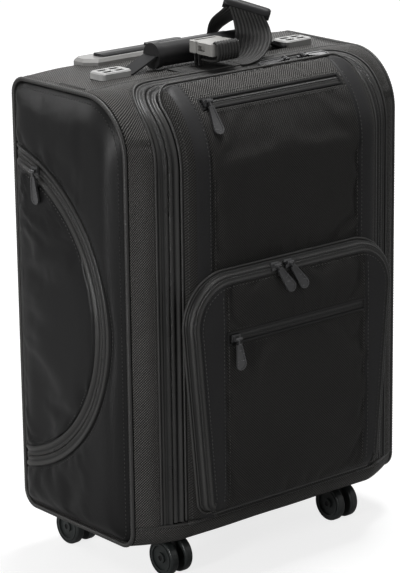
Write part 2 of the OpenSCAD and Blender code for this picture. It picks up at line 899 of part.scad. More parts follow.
module handle_anchors() color("#8d8f92") in_case()
  for (side = [-1, 1])
    translate([side * anchor_span / 2, -handle_u, 0])
      difference() {
        hull() {
          translate([0, 0, wrap_top - 6])
            linear_extrude(6 + anchor_h - anchor_edge) rounded_plan(anchor_l, anchor_d, 6);
          translate([0, 0, wrap_top + anchor_h - thin])
            linear_extrude(thin) rounded_plan(anchor_l - 2 * anchor_edge, anchor_d - 2 * anchor_edge, 5);
        }
        translate([-side * anchor_span / 2, handle_u, 0]) loft(wrap_steps, -floor_gap);
        // Room for the strip's tab, open towards the grip
        translate([-side * 6, 0, wrap_top + (anchor_h - anchor_roof) / 2])
          cube([anchor_l, strip_w + 0.8, anchor_h - anchor_roof], center=true);
        for (sx = [-1, 1], sy = [-1, 1])
          translate([sx * 8, sy * 5, wrap_top + anchor_h]) cube([12, 6, 2 * anchor_roof + 1], center=true);
      }

// A flat bar between two points in the plane across the case
module flat_bar(p, q, t) {
  d = q - p;
  translate(p) rotate(atan2(d[1], d[0])) translate([0, -t / 2]) square([norm(d), t]);
  for (e = [p, q]) translate(e) circle(d=t, $fn=24);
}

module handle_core() color("#1f1f21") in_case()
  translate([0, -handle_u + strip_w / 2, 0])
    rotate([90, 0, 0])
      linear_extrude(strip_w) {
        flat_bar([-neck_top_x, carry_z], [neck_top_x, carry_z], strip_t);
        for (side = [-1, 1]) {
          flat_bar([side * neck_top_x, carry_z], [side * neck_foot_x, tab_z], strip_t);
          flat_bar([side * neck_foot_x, tab_z], [side * (anchor_span / 2 + anchor_l / 2 - 8), tab_z], strip_t);
        }
      }

module handle_grip() color("#202022") in_case()
  translate([0, -handle_u, carry_z])
    difference() {
      rotate([0, 90, 0]) {
        cylinder(d=carry_d, h=carry_len - 4, center=true);
        for (side = [-1, 1])
          translate([0, 0, side * (carry_len / 2 - 5)]) cylinder(d=carry_d + 2, h=8, center=true);
      }
      cube([carry_len + 10, strip_w + 2 * run_gap, strip_t + 2 * run_gap], center=true);
    }

// Strap: flat webbing swept along stations of a middle point and a direction across the web
function case_point(p) = [p[0], -p[1], p[2]];
function unit(v) = v / norm(v);

function web_ring(s, i, wide) =
  let (
    ahead = s[min(i + 1, len(s) - 1)][0],
    behind = s[max(i - 1, 0)][0],
    across = unit(case_point(s[i][1])),
    face = unit(cross(unit(case_point(ahead - behind)), across)),
    w = across * wide / 2,
    t = face * web_t / 2,
    c = case_point(s[i][0])
  ) [c + w + t, c - w + t, c - w - t, c + w - t];

module webbing(s, wide=web_w) {
  n = len(s);
  last = 4 * (n - 1);
  polyhedron(
    points = [for (i = [0:n - 1]) each web_ring(s, i, wide)],
    faces = concat(
      [[0, 1, 2], [0, 2, 3], [last, last + 2, last + 1], [last, last + 3, last + 2]],
      [for (i = [0:n - 2], k = [0:3]) each [
        [4 * i + k, 4 * i + 4 + k, 4 * i + (k + 1) % 4],
        [4 * i + (k + 1) % 4, 4 * i + 4 + k, 4 * i + 4 + (k + 1) % 4]
      ]]
    )
  );
}

buckle_x = -17;
plug_u = handle_u + 17;
plug_l = 13;
socket_u = plug_u + plug_l + soft_gap;
buckle_z = wrap_top + 17;
prong_l = 19;
prong_t = 4;
prong_h = 6;
prong_x = buckle_w / 2 - 9;
tab_half = 0.35 * buckle_w;

bar_r = 4;
// Stations of the loop are drawn for a bar 57 up and a handle 95 from the back, and follow both
loop_k = loop_h / 57;
bar_at = [51 * loop_k, handle_u + 18 * loop_k, wrap_top + loop_h];
bar_along = unit([0.71, 0.64, -0.3]);
bar_front = unit([-0.64, 0.71, 0]);
bar_up = unit([0, 0, 1] + 0.3 * [0.71, 0.64, -0.3]);
bar_turn = bar_r + soft_gap + web_t / 2;

loop_front = [
  [[9, 131, 1.1], [0, 1, 0]], [[22, 131, 1.2], [0, 1, 0]], [[34, 131, 5], [0.2, 1, 0]],
  [[43, 130, 14], [0.45, 0.9, 0]], [[49, 127, 26], [0.6, 0.8, -0.1]], [[51, 122, 39], [0.7, 0.68, -0.2]]
];
loop_rear = [
  [[52, 98, 51], [0.88, 0.45, -0.15]], [[46, 82, 43], [1, 0.1, 0]], [[40, 69, 29], [0.9, -0.4, 0]],
  [[36, 63, 13], [0.75, -0.66, 0]], [[34, 61, 0.7], [0.7, -0.7, 0]]
];

function lifted(s) = [
  for (p = s)
    [[0, handle_u, wrap_top] + loop_k * (p[0] - [0, 95, 0]), p[1]]
];

function round_bar() = [
  for (a = [0:22.5:180])
    [bar_at + bar_turn * (cos(a) * bar_front + sin(a) * bar_up), bar_along]
];

module strap_webbing() color("#2f2f31") in_case() {
  webbing(concat(lifted(loop_front), round_bar(), lifted(loop_rear)));
  // Folded webbing that holds the buckle's plug on the top
  block([buckle_x - tab_half, plug_u + 1, wrap_top + run_gap], [buckle_x + tab_half, plug_u + plug_l - 2, buckle_z]);
}

module strap_bar() color("#3a3a3c") in_case() {
  axis = case_point(bar_along);
  translate(case_point(bar_at))
    rotate([0, acos(axis[2]), atan2(axis[1], axis[0])]) {
      cylinder(r=bar_r, h=web_w + 4, center=true);
      for (side = [-1, 1])
        translate([0, 0, side * (web_w / 2 + 4)]) cylinder(r=bar_r + 2, h=4, center=true);
    }
}

// Side-release buckle, its plug behind and its socket in front
module buckle_blank(low_u, l)
  translate([buckle_x, -low_u - l / 2, buckle_z])
    linear_extrude(buckle_t) rounded_plan(buckle_w, l, 4);

module buckle_plug() color("#6a6b6e") in_case() {
  difference() {
    buckle_blank(plug_u, plug_l);
    block([buckle_x - 15, plug_u + 3, 0], [buckle_x + 15, plug_u + 7, far]);
  }
  for (side = [-1, 1])
    translate([buckle_x + side * (prong_x + prong_t / 2), 0, buckle_z + (buckle_t - prong_h) / 2])
      block([-prong_t / 2, plug_u + plug_l - 1, 0], [prong_t / 2, plug_u + plug_l + prong_l, prong_h]);
}

module buckle_socket() color("#77787b") in_case()
  difference() {
    buckle_blank(socket_u, buckle_l);
    // Hollow for the prongs, its two side windows and the webbing's slot
    block([buckle_x - prong_x - prong_t - 0.5, socket_u - 1, buckle_z + (buckle_t - prong_h) / 2 - 0.5],
          [buckle_x + prong_x + prong_t + 0.5, socket_u + prong_l + 1, buckle_z + (buckle_t + prong_h) / 2 + 0.5]);
    block([buckle_x - far, socket_u + 4, buckle_z + (buckle_t - prong_h) / 2],
          [buckle_x + far, socket_u + 15, buckle_z + (buckle_t + prong_h) / 2]);
    block([buckle_x - 17, socket_u + buckle_l - 6, 0], [buckle_x + 17, socket_u + buckle_l - 2.4, far]);
  }

end_u = socket_u + buckle_l;
end_w = 32;
// Way of the loose end, as distances from the socket's front and up from its underside
end_path = [
  [-4.2, buckle_t - 5], [-4.2, buckle_t - 1], [-3.2, buckle_t + 1.4], [-1, buckle_t + 2],
  [1.4, buckle_t + 0.6], [2.6, buckle_t - 3], [3.6, buckle_t - 9], [3.4, 0], [1, -4.4],
  [-6, -6.2], [-14, -6.8], [-24, -7]
];

// End of the webbing: through the socket's slot, round its bar and back under it
module strap_end() color("#2f2f31") in_case()
  webbing([for (p = end_path) [[buckle_x, end_u + p[0], buckle_z + p[1]], [1, 0, 0]]], end_w);

// Casters
kingpin_d = 10;
plate = 56;
plate_t = 3;
race_d = 34;
race_t = 3.6;
axle_z = -ground + wheel_d / 2;
hub_gap = 0.6;

// Swivel place and the way the wheels trail: front ones to the front, rear ones to the back
function casters() = [
  [-caster_front_x, caster_front_u, 1], [caster_front_x, caster_front_u, 1],
  [-caster_rear_x, caster_rear_u, -1], [caster_rear_x, caster_rear_u, -1]
];

module caster_plates() color("#2a2a2c") in_case()
  for (c = casters())
    translate([c[0], -c[1], -plate_t - floor_gap])
      difference() {
        union() {
          linear_extrude(plate_t) rounded_plan(plate, plate, 12);
          cylinder(d=race_d + 8, h=plate_t);
        }
        translate([0, 0, -1]) cylinder(d=kingpin_d + 2 * run_gap, h=plate_t + 2);
      }

screw_d = 8;
screw_h = 2;

module screws() color("#4a4a4d") in_case()
  for (c = casters(), sx = [-1, 1], sy = [-1, 1])
    translate([c[0] + sx * (plate / 2 - 8), -c[1] + sy * (plate / 2 - 8), -plate_t - 2 * floor_gap - screw_h])
      difference() {
        cylinder(d=screw_d, h=screw_h);
        translate([0, 0, -0.2]) cube([5, 1.2, 1.6], center=true);
        translate([0, 0, -0.2]) cube([1.2, 5, 1.6], center=true);
      }

module fork(c) {
  race_z = -plate_t - floor_gap - soft_gap - race_t;
  axle_y = -c[2] * trail;
  translate([c[0], -c[1], 0]) {
    translate([0, 0, race_z]) cylinder(d=race_d, h=race_t);
    translate([0, 0, race_z]) cylinder(d=kingpin_d, h=wall - 1 - race_z);
    translate([-fork_w / 2, 0, 0])
      rotate([90, 0, 90])
        linear_extrude(fork_w) {
          translate([axle_y, axle_z]) circle(9);
          polygon([
            [axle_y - c[2] * 9, axle_z], [axle_y + c[2] * 6.4, axle_z - 6.4],
            [c[2] * race_d / 2, race_z + 1], [axle_y - c[2] * 2, race_z + 1]
          ]);
        }
    translate([0, axle_y, axle_z]) bar_x(axle_d / 2, fork_w + 2 * (hub_gap + wheel_w - 1));
  }
}

// One wheel's section, bore at the left and outer face up
module wheel_section() {
  tread_r = 3;
  bore = axle_d / 2 + run_gap;
  rim = wheel_d / 2;
  difference() {
    union() {
      translate([bore, 0]) square([rim - tread_r - bore, wheel_w]);
      translate([bore, tread_r]) square([rim - bore, wheel_w - 2 * tread_r]);
      for (z = [tread_r, wheel_w - tread_r]) translate([rim - tread_r, z]) circle(tread_r);
    }
    // Dished face between the hub and the rim's ridge
    translate([bore + 3, wheel_w - 2.4]) square([rim - 10 - bore, 5]);
    translate([rim - 4.6, wheel_w - 1]) square([1.2, 2]);
  }
}

module wheel_pair(c) color("#2d2d2e") in_case()
  translate([c[0], -c[1] - c[2] * trail, axle_z])
    for (side = [-1, 1])
      rotate([0, side * 90, 0])
        translate([0, 0, fork_w / 2 + hub_gap]) rotate_extrude() wheel_section();

module caster_fork(i) color("#232325") in_case() fork(casters()[i]);

back_panel();
base_pan();
top_panel();
left_side_panel();
right_side_panel();
front_frame();
side_piping();
frame_wires();
body_zip_tape();
side_zip_tapes();
trolley_bezel();
outer_tubes();
tube_tunnels();
tube_feet();
handle_anchors();
screws();
caster_plates();
lid_zip_sliders();
left_side_slider();
right_side_slider();
strap_webbing();
strap_bar();
buckle_plug();
buckle_socket();
strap_end();
handle_core();
handle_grip();
mid_tubes();
inner_tubes();
trolley_grip();
grip_button();
left_lock_pin();
right_lock_pin();
lid_panel();
lid_zip_tape();
upper_zip_tape();
pocket_gusset();
upper_slider();
upper_pull();
pocket_flap();
lower_zip_tape();
pocket_sliders();
lower_slider();
lower_pull();
left_pocket_pull();
right_pocket_pull();
left_side_flap();
right_side_flap();
left_side_pull();
right_side_pull();
left_lid_pull();
right_lid_pull();
caster_fork(0);  // front_left_fork
caster_fork(1);  // front_right_fork
caster_fork(2);  // rear_left_fork
caster_fork(3);  // rear_right_fork
wheel_pair(casters()[0]);  // front_left_wheels
wheel_pair(casters()[1]);  // front_right_wheels
wheel_pair(casters()[2]);  // rear_left_wheels
wheel_pair(casters()[3]);  // rear_right_wheels
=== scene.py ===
import math

import bmesh
import bpy
import numpy as np
from mathutils import Matrix, Vector

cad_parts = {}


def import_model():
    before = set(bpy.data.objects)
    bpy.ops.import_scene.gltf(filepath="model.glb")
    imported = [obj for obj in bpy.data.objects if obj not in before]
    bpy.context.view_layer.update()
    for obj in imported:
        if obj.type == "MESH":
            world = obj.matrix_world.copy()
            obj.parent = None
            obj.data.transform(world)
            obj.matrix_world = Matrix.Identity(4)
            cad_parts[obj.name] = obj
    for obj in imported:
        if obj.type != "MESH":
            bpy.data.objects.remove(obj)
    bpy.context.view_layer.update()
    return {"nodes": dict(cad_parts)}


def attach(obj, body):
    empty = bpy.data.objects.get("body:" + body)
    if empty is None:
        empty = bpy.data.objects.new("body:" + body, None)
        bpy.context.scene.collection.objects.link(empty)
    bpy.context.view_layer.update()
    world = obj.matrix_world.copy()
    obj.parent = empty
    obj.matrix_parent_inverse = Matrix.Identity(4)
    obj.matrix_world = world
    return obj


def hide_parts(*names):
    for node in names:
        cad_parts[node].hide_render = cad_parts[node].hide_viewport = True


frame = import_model()
nodes = frame["nodes"]
scene = bpy.context.scene

# Case coordinates in mm: x to the right, u forward from the back panel, z above the body's floor.
BACK_Y, GROUND = 128.75, 50.0
HALF_W, BODY_D, BODY_H = 192.0, 198.0, 500.0
EDGE_R, BROW_R = 20.0, 65.0  # radius of the body's edges, and of its top front edge at the sides
QUARTER = EDGE_R * np.pi / 2
FOOT_Z, TOP_SEAM_U = 26.0, 130.0  # where the front frame ends on the front and on the top
LID_HALF, LID_R, LID_U, LID_Z = 142.0, 25.0, 170.0, 28.3
CORNER_X, CORNER_U = LID_HALF - LID_R, LID_U + LID_R  # centre of the lid's rounded corner, in plan
ZIP_W = 24.0  # both tapes of the lid's zip
LID_SEAM_X, POCKET_SEAM_X = 107.0, 103.0  # seams between a centre panel and its side bands
UPPER_Z, LOWER_Z, SLOT_HALF = 485.0, 234.0, 100.0  # heights of the two straight zips, and half their length
WRAP_TOP, POCKET_FACE = 503.0, 250.0
P_W, P_FOOT_W, P_FOOT, P_TOP, P_R, P_FOOT_R = 149.0, 132.0, 38.0, 306.0, 55.0, 14.0  # outline of the front pocket
BEZEL_HALF, BEZEL_BACK, BEZEL_FRONT = 109.0, -11.06, 14.5  # the bezel's opening in the top, along the skin


def world(p):
    """Case millimetres to metres in the shared frame."""
    p = np.asarray(p, float)
    return np.stack([p[..., 0], BACK_Y - p[..., 1], p[..., 2] + GROUND], -1) / 1000


# ---- camera
AZ, EL, ROLL = math.radians(-40.06), math.radians(16.19), math.radians(-0.686)
PHOTO_W, FOCAL_PX, SHIFT_PX, SENSOR = 400, 2612.6, (-11.07, -6.75), 36
AIM, DISTANCE = Vector((0, 0.02625, 0.300)), 2.9734
back = Vector((math.sin(AZ) * math.cos(EL), -math.cos(AZ) * math.cos(EL), math.sin(EL)))
level = Vector((math.cos(AZ), math.sin(AZ), 0))
upright = back.cross(level)
right = math.cos(ROLL) * level + math.sin(ROLL) * upright
up = math.cos(ROLL) * upright - math.sin(ROLL) * level
cam_data = bpy.data.cameras.new("camera")
cam_data.sensor_fit = "HORIZONTAL"
cam_data.sensor_width = SENSOR
cam_data.lens = SENSOR * FOCAL_PX / PHOTO_W
cam_data.shift_x, cam_data.shift_y = (s / PHOTO_W for s in SHIFT_PX)
cam_data.clip_end = 50
camera = bpy.data.objects.new("camera", cam_data)
stand = Matrix((right, up, back)).transposed().to_4x4()
stand.translation = AIM + back * DISTANCE
camera.matrix_world = stand
scene.collection.objects.link(camera)
scene.camera = camera


# ---- materials
def math_node(tree, op, *values):
    """A math node whose inputs are numbers or sockets."""
    n = tree.nodes.new("ShaderNodeMath")
    n.operation = op
    for socket, v in zip(n.inputs, values):
        if isinstance(v, (int, float)):
            socket.default_value = v
        else:
            tree.links.new(v, socket)
    return n.outputs[0]


class Mat:
    """A node material with short helpers."""

    def __init__(self, name):
        self.m = bpy.data.materials.new(name)
        self.m.use_nodes = True
        self.t = self.m.node_tree
        self.b = self.t.nodes["Principled BSDF"]

    def node(self, kind, **values):
        n = self.t.nodes.new(kind)
        self.fill(n, values)
        return n

    def fill(self, n, values):
        for k, v in values.items():
            n.inputs[k.replace("_", " ")].default_value = v

    def set(self, **values):
        self.fill(self.b, values)

    def link(self, a, b):
        self.t.links.new(a, b)

    def out(self, socket, name):
        self.link(socket, self.b.inputs[name])

    def math(self, op, *values):
        return math_node(self.t, op, *values)

    def blend(self, *terms):
        """Weighted sum of (socket, weight) pairs."""
        parts = [s if weight == 1 else self.math("MULTIPLY", s, weight) for s, weight in terms]
        total = parts[0]
        for part in parts[1:]:
            total = self.math("ADD", total, part)
        return total

    def uv(self):
        s = self.node("ShaderNodeSeparateXYZ")
        self.link(self.node("ShaderNodeUVMap").outputs[0], s.inputs[0])
        return s.outputs[0], s.outputs[1]

    def spot(self):
        return self.node("ShaderNodeTexCoord").outputs["Object"]

    def noise(self, scale, detail, vector, rough=0.55):
        n = self.node("ShaderNodeTexNoise", Scale=scale, Detail=detail, Roughness=rough)
        self.link(vector, n.inputs["Vector"])
        return n.outputs["Fac"]

    def ramp(self, fac, stops):
        n = self.node("ShaderNodeValToRGB")
        e = n.color_ramp.elements
        while len(e) < len(stops):
            e.new(0.5)
        for el, (pos, col) in zip(e, stops):
            el.position = pos
            el.color = (*col, 1)
        self.link(fac, n.inputs[0])
        return n.outputs[0]

    def span(self, fac, lo, hi):
        n = self.node("ShaderNodeMapRange", To_Min=lo, To_Max=hi)
        self.link(fac, n.inputs["Value"])
        return n.outputs[0]

    def bump(self, height, strength, dist, normal=None):
        n = self.node("ShaderNodeBump", Strength=strength, Distance=dist)
        self.link(height, n.inputs["Height"])
        if normal is not None:
            self.link(normal, n.inputs["Normal"])
        return n.outputs[0]

    def wave(self, a, pitch):
        """Half-wave ridges along a coordinate in mm."""
        return self.math("ABSOLUTE", self.math("SINE", self.math("MULTIPLY", a, math.pi / pitch)))


WARM, COOL, NEUTRAL = (1.0, 0.97, 0.93), (0.98, 0.97, 1.0), (1, 1, 1)


def cloth(name, dark, light, pitch, fine, depth, rough, sheen, tint=WARM, spec=0.3, keen=0.0, crease=0.12):
    """Woven nylon: interlaced yarns in a diagonal repeat, the yarns' raised tops painted lighter as a highlight and the
    valleys between them painted darker as shade, with worn and dusty variation.

    pitch, fine and depth are in mm; keen sharpens the step from dark to light."""
    mat = Mat(name)
    u, v = mat.uv()
    diag, anti = mat.math("ADD", u, v), mat.math("SUBTRACT", u, v)
    yarn = mat.math("MULTIPLY", mat.wave(diag, pitch), mat.span(mat.wave(anti, pitch), 0.55, 1.0))
    cloud = mat.noise(9, 4, mat.spot())
    grain = mat.noise(900, 2, mat.spot())
    mid = dark + (0.5 - keen) * (light - dark)
    stops = [(at, [c * t for t in tint]) for at, c in ((0.12 + keen, dark), (0.55, mid), (0.98 - keen, light))]
    # the yarn relief also sets the colour: a painted highlight on the yarn tops, painted shade in the valleys between
    # them
    mat.out(mat.ramp(mat.blend((yarn, 0.62), (cloud, 0.2), (grain, 0.18)), stops), "Base Color")
    mat.out(mat.span(mat.blend((cloud, 1), (grain, 0.4)), rough - 0.08, rough + 0.12), "Roughness")
    weave = mat.bump(mat.blend((yarn, 1), (mat.wave(v, fine), 0.3)), 0.75, depth / 1000)
    mat.out(mat.bump(cloud, crease, 0.002, weave), "Normal")
    mat.set(Sheen_Weight=sheen, Sheen_Roughness=0.45, Sheen_Tint=(1, 0.98, 0.95, 1), Specular_IOR_Level=spec)
    return mat.m


def ribbed(name, dark, light, pitch, depth, rough, spec=0.3, shade_line_pitch=0.0):
    """Narrow woven tape: ribs across it and a fine herringbone, their raised tops painted lighter as a highlight; its
    last argument is the spacing of painted shade lines along it, in the grooves between its ridges.
    """
    mat = Mat(name)
    u, v = mat.uv()
    bone = mat.wave(mat.blend((u, 1), (mat.wave(v, pitch * 2.2), pitch)), pitch * 1.1)
    height = mat.blend((mat.wave(v, pitch), 1), (bone, 0.5))
    cloud = mat.noise(14, 3, mat.spot())
    # the ribs' height sets the colour: a painted highlight on their tops, painted shade between them
    mix = mat.blend((height, 0.5), (cloud, 0.35))
    # painted shade: dark lines along the grooves between the tape's raised ridges
    if shade_line_pitch:
        mix = mat.math("MULTIPLY", mix, mat.span(mat.wave(u, shade_line_pitch), 0.15, 1.15))
    mat.out(mat.ramp(mix, [(0.1, [dark] * 3), (0.95, [light, light * 0.98, light * 0.95])]), "Base Color")
    mat.out(mat.span(cloud, rough - 0.07, rough + 0.1), "Roughness")
    mat.out(mat.bump(height, 0.7, depth / 1000), "Normal")
    mat.set(Sheen_Weight=0.03, Sheen_Roughness=0.4, Specular_IOR_Level=spec)
    return mat.m


def moulded(name, dark, light, rough, grain, depth, metal=0.0, coat=0.0):
    """Moulded plastic, rubber or metal: fine grain, a slow drift and rubbed scuffs."""
    mat = Mat(name)
    spot = mat.spot()
    fine = mat.noise(grain, 2, spot)
    slow = mat.noise(22, 4, spot)
    squeeze = mat.node("ShaderNodeMapping", Scale=(1, 7, 2))
    mat.link(spot, squeeze.inputs[0])
    rub = mat.ramp(mat.noise(160, 5, squeeze.outputs[0], 0.7), [(0.56, (0, 0, 0)), (0.74, (1, 1, 1))])
    mix = mat.blend((slow, 0.75), (fine, 0.2), (rub, 0.35))
    mat.out(mat.ramp(mix, [(0.25, dark), (1.0, light)]), "Base Color")
    mat.out(mat.span(mat.blend((slow, 1), (rub, 0.6)), rough - 0.07, rough + 0.14), "Roughness")
    mat.out(mat.bump(fine, 0.35, depth / 1000), "Normal")
    mat.set(Metallic=metal, Coat_Weight=coat, Coat_Roughness=0.2, Specular_IOR_Level=0.35)
    return mat.m


M = {
    # front is the woven nylon of the front panels: a smoother weave, and darker than ballistic as painted shade on the
    # front-facing surfaces
    "ballistic": cloth("ballistic_nylon", 0.002, 0.200, 3.0, 1.2, 0.8, 0.42, 0.01, spec=0.15, keen=0.2),
    "front": cloth("front_nylon_painted_shade", 0.002, 0.085, 3.0, 1.2, 0.45, 0.44, 0.02, spec=0.12, keen=0.08),
    "satin": cloth("satin_nylon", 0.002, 0.011, 1.5, 0.7, 0.05, 0.31, 0.01, COOL, spec=0.32, crease=0.03),
    # band is a lighter copy of the satin: painted light for the lit lid and pocket bands
    "band": cloth("band_satin_painted_light", 0.004, 0.065, 1.5, 0.7, 0.05, 0.44, 0.03, COOL, spec=0.2, crease=0.03),
    "lining": cloth("lining_cloth", 0.018, 0.050, 1.0, 0.5, 0.15, 0.62, 0.08, NEUTRAL),
    # tape, coil and webbing carry painted shade lines along their grooves; all four paint their ribs' tops lighter as a
    # highlight
    "tape": ribbed("zip_tape_cloth", 0.003, 0.070, 0.9, 0.06, 0.32, spec=0.4, shade_line_pitch=7.4),
    "coil": ribbed("zip_coil", 0.004, 0.060, 1.2, 0.10, 0.28, spec=0.4, shade_line_pitch=7.4),
    "webbing": ribbed("ribbed_webbing", 0.004, 0.060, 1.1, 0.2, 0.42, shade_line_pitch=4.2),
    "piping": ribbed("piping_cloth", 0.008, 0.080, 1.2, 0.12, 0.34, spec=0.4),
    "thread": moulded("sewing_thread", (0.06, 0.06, 0.058), (0.20, 0.196, 0.19), 0.5, 4000, 0.05),
    "gunmetal": moulded("gunmetal_finish", (0.05, 0.05, 0.052), (0.22, 0.22, 0.225), 0.20, 2200, 0.01, 0.5, 0.5),
    "tube": moulded("anodised_tube", (0.40, 0.41, 0.42), (0.62, 0.63, 0.64), 0.28, 2600, 0.02, 0.95),
    "steel": moulded("steel_finish", (0.34, 0.34, 0.35), (0.6, 0.6, 0.6), 0.32, 2600, 0.02, 0.95),
    "grey": moulded("grey_plastic_finish", (0.24, 0.235, 0.23), (0.44, 0.435, 0.42), 0.34, 1500, 0.05),
    "anchor": moulded("anchor_plastic", (0.38, 0.38, 0.375), (0.64, 0.635, 0.62), 0.40, 1500, 0.04),
    "buckle": moulded("buckle_plastic", (0.28, 0.275, 0.265), (0.52, 0.51, 0.48), 0.36, 1500, 0.03),
    "black": moulded("black_plastic_finish", (0.008, 0.008, 0.009), (0.030, 0.030, 0.031), 0.42, 1300, 0.07),
    "rubber": moulded("grip_rubber_finish", (0.008, 0.008, 0.009), (0.034, 0.033, 0.033), 0.38, 1800, 0.05),
    "wheel": moulded("wheel_rubber_finish", (0.020, 0.023, 0.023), (0.075, 0.082, 0.080), 0.30, 900, 0.05),
}


# ---- number helpers
def unit(v):
    return v / (np.linalg.norm(v, axis=-1, keepdims=True) + 1e-12)


def arc_length(p):
    """Length along a path up to each of its points."""
    return np.concatenate([[0], np.cumsum(np.linalg.norm(np.diff(p, axis=0), axis=-1))])


def read_at(rows, d, t):
    """Rows of numbers that are known at lengths d, read at lengths t."""
    return np.stack([np.interp(t, d, column) for column in rows.T], -1)


def evenly(rows, step, dims):
    """Rows of numbers at even spacing, measured by the first few of each."""
    d = arc_length(rows[:, :dims])
    return read_at(rows, d, np.linspace(0, d[-1], int(d[-1] / step) + 1))


def steps(*parts):
    """Sorted places from several lists, each once."""
    return np.unique(np.concatenate(parts))


def mirrored(half, sign):
    """Values over both halves of a section, given from the middle out; sign is that of the first half."""
    half = np.asarray(half, float)
    return np.concatenate([sign * half[::-1], half])


def points(x, u, z):
    """Case points from coordinates, each an array or one number."""
    return np.stack(np.broadcast_arrays(np.asarray(x, float), u, z), -1)


def middles(a):
    """A grid's values in the middle of its faces."""
    return (a[:-1, :-1] + a[1:, 1:]) / 2


def smooth01(t):
    t = np.clip(t, 0, 1)
    return t * t * (3 - 2 * t)


def groove(a, width):
    """A narrow bell along the line where a is 0."""
    return np.exp(-(a / width) ** 2)


# ---- mesh helpers
def mesh_object(name, verts, faces, mats, index=None, uvs=None):
    """A smooth mesh from case millimetres; uvs is one pair per vertex, in mm."""
    me = bpy.data.meshes.new(name)
    me.from_pydata(world(verts).tolist(), [], faces)
    for k in mats:
        me.materials.append(M[k])
    if index is not None:
        me.polygons.foreach_set("material_index", np.asarray(index, np.int32))
    if uvs is not None:
        layer = me.uv_layers.new(name="UVMap")
        loops = np.empty(len(me.loops), np.int32)
        me.loops.foreach_get("vertex_index", loops)
        layer.data.foreach_set("uv", np.asarray(uvs, np.float32)[loops].ravel())
    me.polygons.foreach_set("use_smooth", [True] * len(me.polygons))
    me.update()
    o = bpy.data.objects.new(name, me)
    scene.collection.objects.link(o)
    return o


def fix_normals(o):
    bm = bmesh.new()
    bm.from_mesh(o.data)
    bmesh.ops.recalc_face_normals(bm, faces=bm.faces)
    bm.to_mesh(o.data)
    bm.free()


def finish(o, body, slot, *replaced, pad=None):
    """Attaches a piece to the body it rides on and hides the CAD nodes it stands for; slot and pad are not used."""
    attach(o, body)
    if replaced:
        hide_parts(*replaced)


def grid_faces(n, m, wrap_n=False, wrap_m=False):
    i = np.arange(n if wrap_n else n - 1)
    j = np.arange(m if wrap_m else m - 1)
    a, b = np.meshgrid(i, j, indexing="ij")
    i2, j2 = (a + 1) % n, (b + 1) % m
    return np.stack([a * m + b, i2 * m + b, i2 * m + j2, a * m + j2], -1).reshape(-1, 4)


def grid_uv(p):
    """Arc lengths along both directions of a grid of points."""
    dn = np.linalg.norm(np.diff(p, axis=0), axis=-1)
    dm = np.linalg.norm(np.diff(p, axis=1), axis=-1)
    un = np.concatenate([np.zeros((1, p.shape[1])), np.cumsum(dn, 0)])
    um = np.concatenate([np.zeros((p.shape[0], 1)), np.cumsum(dm, 1)], 1)
    mid = um[:, um.shape[1] // 2][:, None]
    return np.stack([um - mid, un], -1)


def grid(name, p, mats, face_mat=None, out=None, keep=None, wrap_n=False, uv=None):
    """A sheet from an (n, m, 3) array; out is a case direction that its middle faces."""
    n, m = p.shape[:2]
    f = grid_faces(n, m, wrap_n)
    if out is not None:
        middle = world(p.reshape(-1, 3)[f[len(f) // 2 + (m // 2 if n % 2 else 0)]])
        nrm = np.cross(middle[2] - middle[0], middle[3] - middle[1])
        if np.dot(nrm, [out[0], -out[1], out[2]]) < 0:
            f = f[:, ::-1]
    if keep is not None:
        f = f[keep.reshape(-1)]
    idx = None if face_mat is None else np.asarray(face_mat).reshape(-1)
    uv = grid_uv(p) if uv is None else np.stack(uv, -1)
    return mesh_object(name, p.reshape(-1, 3), f.tolist(), mats, idx, uv.reshape(-1, 2))


def thicken(o, mm, lining=1):
    """Gives a sheet a wall behind it; lining is how many slots on the back's material is."""
    s = o.modifiers.new("wall", "SOLIDIFY")
    s.thickness = mm / 1000
    s.offset = -1
    s.use_even_offset = False
    s.material_offset = lining
    s.material_offset_rim = 0
    return o


def nylon_sheet(name, body, p, out, wall, *replaced, pad=None, keep=None):
    """A lined sheet of ballistic nylon."""
    o = thicken(grid(name, p, ["ballistic", "lining"], out=out, keep=keep), wall)
    finish(o, body, "ballistic_nylon", *replaced, pad=pad)


def rings(name, p, across, d, mat, closed=False):
    """A skin over rings of points, its ends closed; across and d are lengths round and along it."""
    n, m = p.shape[:2]
    f = grid_faces(n, m, closed, True).tolist()
    if not closed:
        f += [list(range(m))[::-1], list(range((n - 1) * m, n * m))]
    uv = np.stack(np.broadcast_arrays(across, d[:, None]), -1)
    o = mesh_object(name, p.reshape(-1, 3), f, [mat], None, uv.reshape(-1, 2))
    fix_normals(o)
    return o


def piping(name, body, p, ref, r, sides=8, beat=0.05, pitch=4.8, closed=False, replaced=()):
    """A round cord along a path, its radius beating slightly as a bound cord's does, its open ends rounded.

    ref is a rough normal of the path, one or one per point."""
    t = unit(np.roll(p, -1, 0) - np.roll(p, 1, 0) if closed else np.gradient(p, axis=0))
    s = unit(np.cross(t, np.broadcast_to(np.asarray(ref, float), p.shape)))
    n = np.cross(s, t)
    a = np.linspace(0, 2 * np.pi, sides, endpoint=False)
    d = arc_length(p)
    rr = r * (1 + beat * np.cos(2 * np.pi * d / pitch))
    if not closed:
        rr *= np.sqrt(1 - (1 - np.clip(np.minimum(d, d[-1] - d) / r, 0.01, 1)) ** 2)
    q = p[:, None] + rr[:, None, None] * (np.cos(a)[:, None] * s[:, None] + np.sin(a)[:, None] * n[:, None])
    finish(rings(name, q, a * r, d, "piping", closed), body, "piping", *replaced)


STITCH = np.array([(0, 2, 4), (2, 1, 4), (1, 3, 4), (3, 0, 4), (2, 0, 5), (1, 2, 5), (3, 1, 5), (0, 3, 5)])


